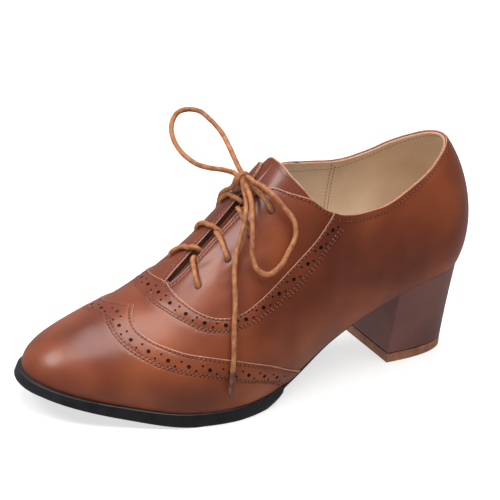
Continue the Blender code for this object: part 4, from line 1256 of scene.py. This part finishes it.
# Perforation shade: a near-black disc at the bottom of each punched hole, painted shade in the hole
places, aways, sizes = [], [], []
for side in (OUTER, INNER):
    for kind, spots, radius in perforations[side]:
        depth = np.full(len(spots), 0.00012 if kind == "wing" else -BODY_WALL - 0.00002)
        depth[spots[:, 1] >= PLANE_SIZE[1] * 0.98] = 0.00008 + (CAP_STEP if kind == "wing" else 0)
        places.append(on_side(spots, side, depth))
        aways.append(normals_at(spots, side))
        sizes.append(np.where(depth < 0.00015, radius * 1.25, radius))
ridge_spot = between(edges[OUTER]["cap"], to_ridge(even_line(WING_BAND)), 0.56)[-1:]
places.append(on_side(ridge_spot, OUTER, CAP_STEP + 0.00008))
aways.append(normals_at(ridge_spot, OUTER))
sizes.append(np.array((BIG_HOLE,)))
places, aways, sizes = map(np.concatenate, (places, aways, sizes))
perforation_shade = repeated("perforation_shade_discs", shade_disc_tree, places, unit(np.cross(aways, (0.1, 0.9, 0.2))),
                   aways, sizes, {})
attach(perforation_shade, "root")


# Lace over the facings: each crossing's two strands come out of their eyelets, run up over the
# facings and cross in the slit, where they pass under the other side.

# Each strand as (side, round, up, height in mm over the last): out of its eyelet, over the facing,
# and down into the slit. The inner strand of each pair lies on top.
STRANDS = (
    ((INNER, 0.635, 0.778, -2.6), (INNER, 0.635, 0.780, -1.2), (INNER, 0.634, 0.795, 0.1),
     (INNER, 0.630, 0.832, 0.55), (INNER, 0.629, 0.900, 0.5), (INNER, 0.633, 0.965, 0.8),
     (INNER, 0.632, 0.995, 1.0), (OUTER, 0.629, 0.985, 0.6), (OUTER, 0.627, 0.974, -0.5),
     (OUTER, 0.626, 0.969, -1.8), (OUTER, 0.626, 0.966, -2.6)),
    ((OUTER, 0.641, 0.768, -2.6), (OUTER, 0.640, 0.770, -1.2), (OUTER, 0.640, 0.785, 0.1),
     (OUTER, 0.641, 0.830, 0.5), (OUTER, 0.641, 0.900, 0.45), (OUTER, 0.641, 0.945, 0.3),
     (OUTER, 0.640, 0.965, -0.4), (OUTER, 0.640, 0.980, -1.6)),
    ((INNER, 0.588, 0.762, -2.6), (INNER, 0.587, 0.764, -1.2), (INNER, 0.586, 0.780, 0.1),
     (INNER, 0.585, 0.810, 0.55), (INNER, 0.588, 0.890, 0.5), (INNER, 0.593, 0.955, 0.8),
     (INNER, 0.594, 0.990, 1.0), (OUTER, 0.593, 0.985, 0.6), (OUTER, 0.592, 0.973, -0.5),
     (OUTER, 0.591, 0.967, -1.8), (OUTER, 0.591, 0.964, -2.6)),
    ((OUTER, 0.589, 0.748, -2.6), (OUTER, 0.589, 0.750, -1.2), (OUTER, 0.589, 0.765, 0.1),
     (OUTER, 0.590, 0.810, 0.5), (OUTER, 0.591, 0.870, 0.45), (OUTER, 0.593, 0.935, 0.3),
     (OUTER, 0.595, 0.960, -0.4), (OUTER, 0.596, 0.978, -1.6)),
    ((INNER, 0.548, 0.758, -2.6), (INNER, 0.547, 0.760, -1.2), (INNER, 0.546, 0.776, 0.1),
     (INNER, 0.544, 0.810, 0.55), (INNER, 0.544, 0.880, 0.5), (INNER, 0.549, 0.955, 0.8),
     (INNER, 0.550, 0.990, 1.0), (OUTER, 0.549, 0.985, 0.6), (OUTER, 0.548, 0.970, -0.5),
     (OUTER, 0.547, 0.962, -1.8), (OUTER, 0.547, 0.958, -2.6)),
    ((OUTER, 0.552, 0.738, -2.6), (OUTER, 0.552, 0.740, -1.2), (OUTER, 0.552, 0.755, 0.1),
     (OUTER, 0.553, 0.800, 0.5), (OUTER, 0.554, 0.870, 0.45), (OUTER, 0.555, 0.930, 0.3),
     (OUTER, 0.556, 0.955, -0.4), (OUTER, 0.557, 0.975, -1.6)),
    ((OUTER, 0.518, 0.728, -2.6), (OUTER, 0.518, 0.730, -1.2), (OUTER, 0.518, 0.745, 0.1),
     (OUTER, 0.520, 0.790, 0.6), (OUTER, 0.523, 0.860, 0.8), (OUTER, 0.526, 0.920, 1.0),
     (OUTER, 0.529, 0.970, 1.3), (OUTER, 0.530, 1.000, 1.4)),
    ((INNER, 0.514, 0.743, -2.6), (INNER, 0.514, 0.745, -1.2), (INNER, 0.515, 0.760, 0.1),
     (INNER, 0.518, 0.800, 0.6), (INNER, 0.522, 0.870, 0.8), (INNER, 0.526, 0.930, 1.1),
     (INNER, 0.529, 0.980, 1.3), (OUTER, 0.530, 0.995, 1.3)),
)
strands = []
for number, strand in enumerate(STRANDS):
    points = [on_last(around, up, side, height / 1000)[0] for side, around, up, height in strand]
    route = smooth_route(points, LACE_STEP)
    strands.append(tube("strand_%d" % number, route, lace_radii(route), waxed_cotton))
crossings = joined(strands, "lace_crossings")
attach(crossings, "root")
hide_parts("lace_crossing_1", "lace_crossing_2", "lace_crossing_3", "lace_crossing_4")


# Insole and sock: the board's beige leather cover, seen down the collar.

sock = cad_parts["insole"]
sock.data.materials.clear()
sock.data.materials.append(pigskin)


# Outsole: moulded black rubber, a full forepart with a flared edge and a thin waist.

BREAST_SHARE = 0.203
FOREPART_BACK_SHARE = 0.50
WAIST_THICKNESS = 0.003
SOLE_FLARE = 0.0014
TOE_FLARE = 0.0026
SOLE_EDGE_BEVEL = 0.0008
WAIST_RIM, WAIST_BEVEL = 0.0014, 0.005
WAIST_LOW_INSET, WAIST_HIGH_INSET = 0.0032, 0.0028
FOREPART_ROUNDING = 0.028
TOE_THINNING = 0.35
rubber, shader = mottled("moulded_black_rubber", 120.0, 4.0, ((0.3, "#141316"), (0.75, "#212024")),
                         0.42, ("ShaderNodeTexNoise", {"Scale": 1400.0, "Detail": 2.0}, 0.25, 0.00008))
shader.inputs["Specular IOR Level"].default_value = 0.3


def sole_rings():
    """The sole's cross outlines from the heel breast to the toe tip."""
    start, step = (math.acos(1 - 2 * s) / math.pi for s in (BREAST_SHARE, FOREPART_BACK_SHARE))
    around = np.concatenate([np.linspace(start, step, 30), np.linspace(step + 0.0012, 1, 150)])
    rounding = np.sqrt(np.clip((around - step) / FOREPART_ROUNDING, 0, 1))
    thickness = WAIST_THICKNESS + (FOREPART_THICKNESS - WAIST_THICKNESS) * rounding
    forward = np.maximum(0, share_along(around) - TOE_ROUND) / (1 - TOE_ROUND)
    thickness = thickness * (1 - TOE_THINNING * forward)
    # the waist is bevelled: drawn in under the upper and thinned at its edge, more so to the heel
    to_heel = np.clip((step - around) / (step - start), 0, 1)
    waist = around <= step
    halves = []
    for side in (OUTER, INNER):
        sides = np.full(len(around), float(side))
        toe_flare = TOE_FLARE * forward ** (1 if side == OUTER else 3)
        low_flare = SOLE_FLARE - WAIST_LOW_INSET * np.sqrt(to_heel) + toe_flare
        high_flare = SOLE_FLARE - WAIST_HIGH_INSET * np.sqrt(to_heel) + toe_flare / 2
        top = feather_point(around, sides, high_flare)
        edge = feather_point(around, sides, low_flare)
        foot = feather_point(around, sides, low_flare - np.where(waist, WAIST_BEVEL, SOLE_EDGE_BEVEL))
        edge_depth = np.where(waist, WAIST_RIM + SOLE_EDGE_BEVEL, thickness)
        edge[:, 2] = np.maximum(feather_height(edge[:, 1]) - edge_depth, 0) + SOLE_EDGE_BEVEL
        foot[:, 2] = np.maximum(feather_height(foot[:, 1]) - thickness, 0)
        inset = feather_point(around, sides, high_flare - 0.0004)
        shoulder = top + (edge - top) * 0.06
        corner = edge * 0.55 + foot * 0.45
        corner += outline_normal(around, sides) * 0.00018
        corner[:, 2] -= np.where(waist, 0.0003, 0.00012)
        halves.append([inset, shoulder, edge, corner, foot])
    rings = np.stack(halves[0] + halves[1][::-1], axis=1)
    breast = HEEL_BACK - BREAST_SHARE * LAST_LENGTH - 0.0003
    rings[0, :, 2] += feather_height(breast) - feather_height(rings[0, :, 1])
    rings[0, :, 1] = breast
    return rings


def loft(name, rings, finishes):
    """A solid through closed rings with equal numbers of points."""
    count, size = rings.shape[:2]
    faces = []
    for r in range(count - 1):
        for i in range(size):
            j = (i + 1) % size
            faces.append((r * size + i, r * size + j, (r + 1) * size + j, (r + 1) * size + i))
    faces.append(tuple(range(size))[::-1])
    faces.append(tuple(range((count - 1) * size, count * size)))
    piece = mesh_piece(name, rings.reshape(-1, 3), faces, finishes, smooth=False)
    work = bmesh.new()
    work.from_mesh(piece.data)
    bmesh.ops.remove_doubles(work, verts=work.verts, dist=1e-6)
    bmesh.ops.dissolve_degenerate(work, edges=work.edges, dist=1e-6)
    bmesh.ops.recalc_face_normals(work, faces=work.faces)
    if work.calc_volume(signed=True) < 0:
        bmesh.ops.reverse_faces(work, faces=work.faces)
    work.to_mesh(piece.data)
    work.free()
    piece.data.shade_smooth()
    piece.data.set_sharp_from_angle(angle=math.radians(34))
    return piece


sole = loft("rubber_outsole", sole_rings(), [rubber])
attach(sole, "root")
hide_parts("outsole")


# Heel: a plastic block wrapped in a thin wine-brown leather, its seat edge under the upper.

TOP_PIECE_LENGTH = 0.0395
TOP_PIECE_HALF_WIDTH = 0.0185
TOP_PIECE_THICKNESS = 0.005
TOP_PIECE_ROUNDNESS = 2.8
HEEL_TAPER = 1.15
HEEL_COVER_INSET = 0.0004
heel_cover = polished_calf("wine_heel_cover", "#52302b", "#643c36", "#754a43", 0.38)


def heel_outline(rise, points=46):
    """The heel's outline at a level from 0, on the top piece, to 1, at the seat."""
    breast = math.acos(1 - 2 * BREAST_SHARE) / math.pi
    halves = []
    t = np.linspace(0, 1, points)
    for side in (OUTER, INNER):
        seat = feather_point(breast * (1 - t), np.full(points, float(side)), -HEEL_COVER_INSET)
        turn = t * math.pi / 2
        across = TOP_PIECE_HALF_WIDTH * np.maximum(np.cos(turn), 0) ** (2 / TOP_PIECE_ROUNDNESS)
        rear = TOP_PIECE_LENGTH * (np.sin(turn) ** (2 / TOP_PIECE_ROUNDNESS) - 0.5)
        foot = np.stack([side * across, rear, np.full(points, TOP_PIECE_THICKNESS + 0.0003)], axis=1)
        foot[-1, 0] = 0
        place = foot + (seat - foot) * rise ** HEEL_TAPER
        place[:, 2] = foot[:, 2] + (seat[:, 2] - foot[:, 2]) * rise
        halves.append(place)
    return np.concatenate([halves[0], halves[1][-2::-1]])


def rounded(piece, width, segments):
    """Rounds a piece's sharp edges and keeps the result as its plain mesh."""
    bevel = piece.modifiers.new("rounding", "BEVEL")
    bevel.width = width
    bevel.segments = segments
    bevel.limit_method = "ANGLE"
    bevel.angle_limit = math.radians(40)
    made = bpy.data.meshes.new_from_object(
        piece.evaluated_get(bpy.context.evaluated_depsgraph_get()))
    piece.modifiers.remove(bevel)
    old = piece.data
    piece.data = made
    bpy.data.meshes.remove(old)
    made.name = piece.name
    made.shade_smooth()
    made.set_sharp_from_angle(angle=math.radians(50))


heel = loft("covered_heel", np.stack([heel_outline(i / 16) for i in range(17)]), [heel_cover])
rounded(heel, 0.0006, 3)
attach(heel, "root")
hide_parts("heel")


# Top piece: a tan rubber slab under the heel, its lower edge drawn in a little.

top_rubber = mottled("tan_heel_rubber", 300.0, 4.0, ((0.3, "#7d4c33"), (0.7, "#a06a4a")), 0.55,
                     ("ShaderNodeTexNoise", {"Scale": 300.0, "Detail": 4.0}, 0.3, 0.0001))[0]
rings = []
for height, scale in ((0.0, 0.975), (0.0005, 1.0), (TOP_PIECE_THICKNESS, 1.0)):
    ring = heel_outline(0.0)
    ring[:, :2] *= scale
    ring[:, 2] = height
    rings.append(ring)
top_piece = loft("heel_top_piece", np.stack(rings), [top_rubber])
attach(top_piece, "root")
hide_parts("top_piece")


# Studio: a seamless paper floor that glows by itself, three soft boxes and a dim grey room.

paper, shader = mottled("white_seamless_paper", 60.0, 2.0, ((0.3, "#a9a6a3"), (0.7, "#adaaa7")), 0.9)
shader.inputs["Emission Color"].default_value = (1, 1, 1, 1)
shader.inputs["Emission Strength"].default_value = 0.68
floor = mesh_piece("studio_floor", [(-3, -3, 0), (3, -3, 0), (3, 3, 0), (-3, 3, 0)], [(0, 1, 2, 3)],
                   [paper], smooth=False)
# The lit paper isn't mirrored, so that the leather's lower half keeps its colour
floor.visible_glossy = False

# The room is darkest behind the heel's outer side and dimmer below than above
world = bpy.data.worlds.new("studio")
world.use_nodes = True
tree = world.node_tree
direction = add_node(tree, "ShaderNodeTexCoord").outputs["Generated"]
DARK_SIDE = (0.76, 0.51, 0.40)
facing_dark = add_node(tree, "ShaderNodeVectorMath", {"operation": "DOT_PRODUCT"}, _0=direction,
                       _1=DARK_SIDE).outputs["Value"]
wall_light = grey_ramp(tree, facing_dark, 0.42, 0.06, 0.2, 0.9)
height = add_node(tree, "ShaderNodeSeparateXYZ", _0=direction).outputs["Z"]
ground_light = grey_ramp(tree, height, 0.75, 1.0, -0.15, 0.25)
studio_light = add_node(tree, "ShaderNodeMath", {"operation": "MULTIPLY"}, _0=wall_light,
                        _1=ground_light).outputs[0]
tree.links.new(studio_light, tree.nodes["Background"].inputs["Strength"])
tree.nodes["Background"].inputs["Color"].default_value = (1, 1, 1, 1)
bpy.context.scene.world = world
bpy.context.scene.view_settings.view_transform = "Standard"

# place, size, power in watts
SOFT_BOXES = (
    ("top_box", (-0.15, -0.25, 1.3), (1.2, 0.9), 19.0),
    ("outer_top_box", (0.50, 0.10, 1.2), (0.7, 0.6), 9.0),
    ("front_box", (-0.45, -1.15, 1.1), (0.7, 0.5), 12.0),
)
for name, spot, (width, height), power in SOFT_BOXES:
    light = bpy.data.lights.new(name, "AREA")
    light.shape = "RECTANGLE"
    light.size, light.size_y = width, height
    light.energy = power
    box = bpy.data.objects.new(name, light)
    aim = Vector((0.0, -0.09, 0.05)) - Vector(spot)
    box.rotation_euler = aim.to_track_quat("-Z", "Y").to_euler()
    box.location = spot
    bpy.context.collection.objects.link(box)
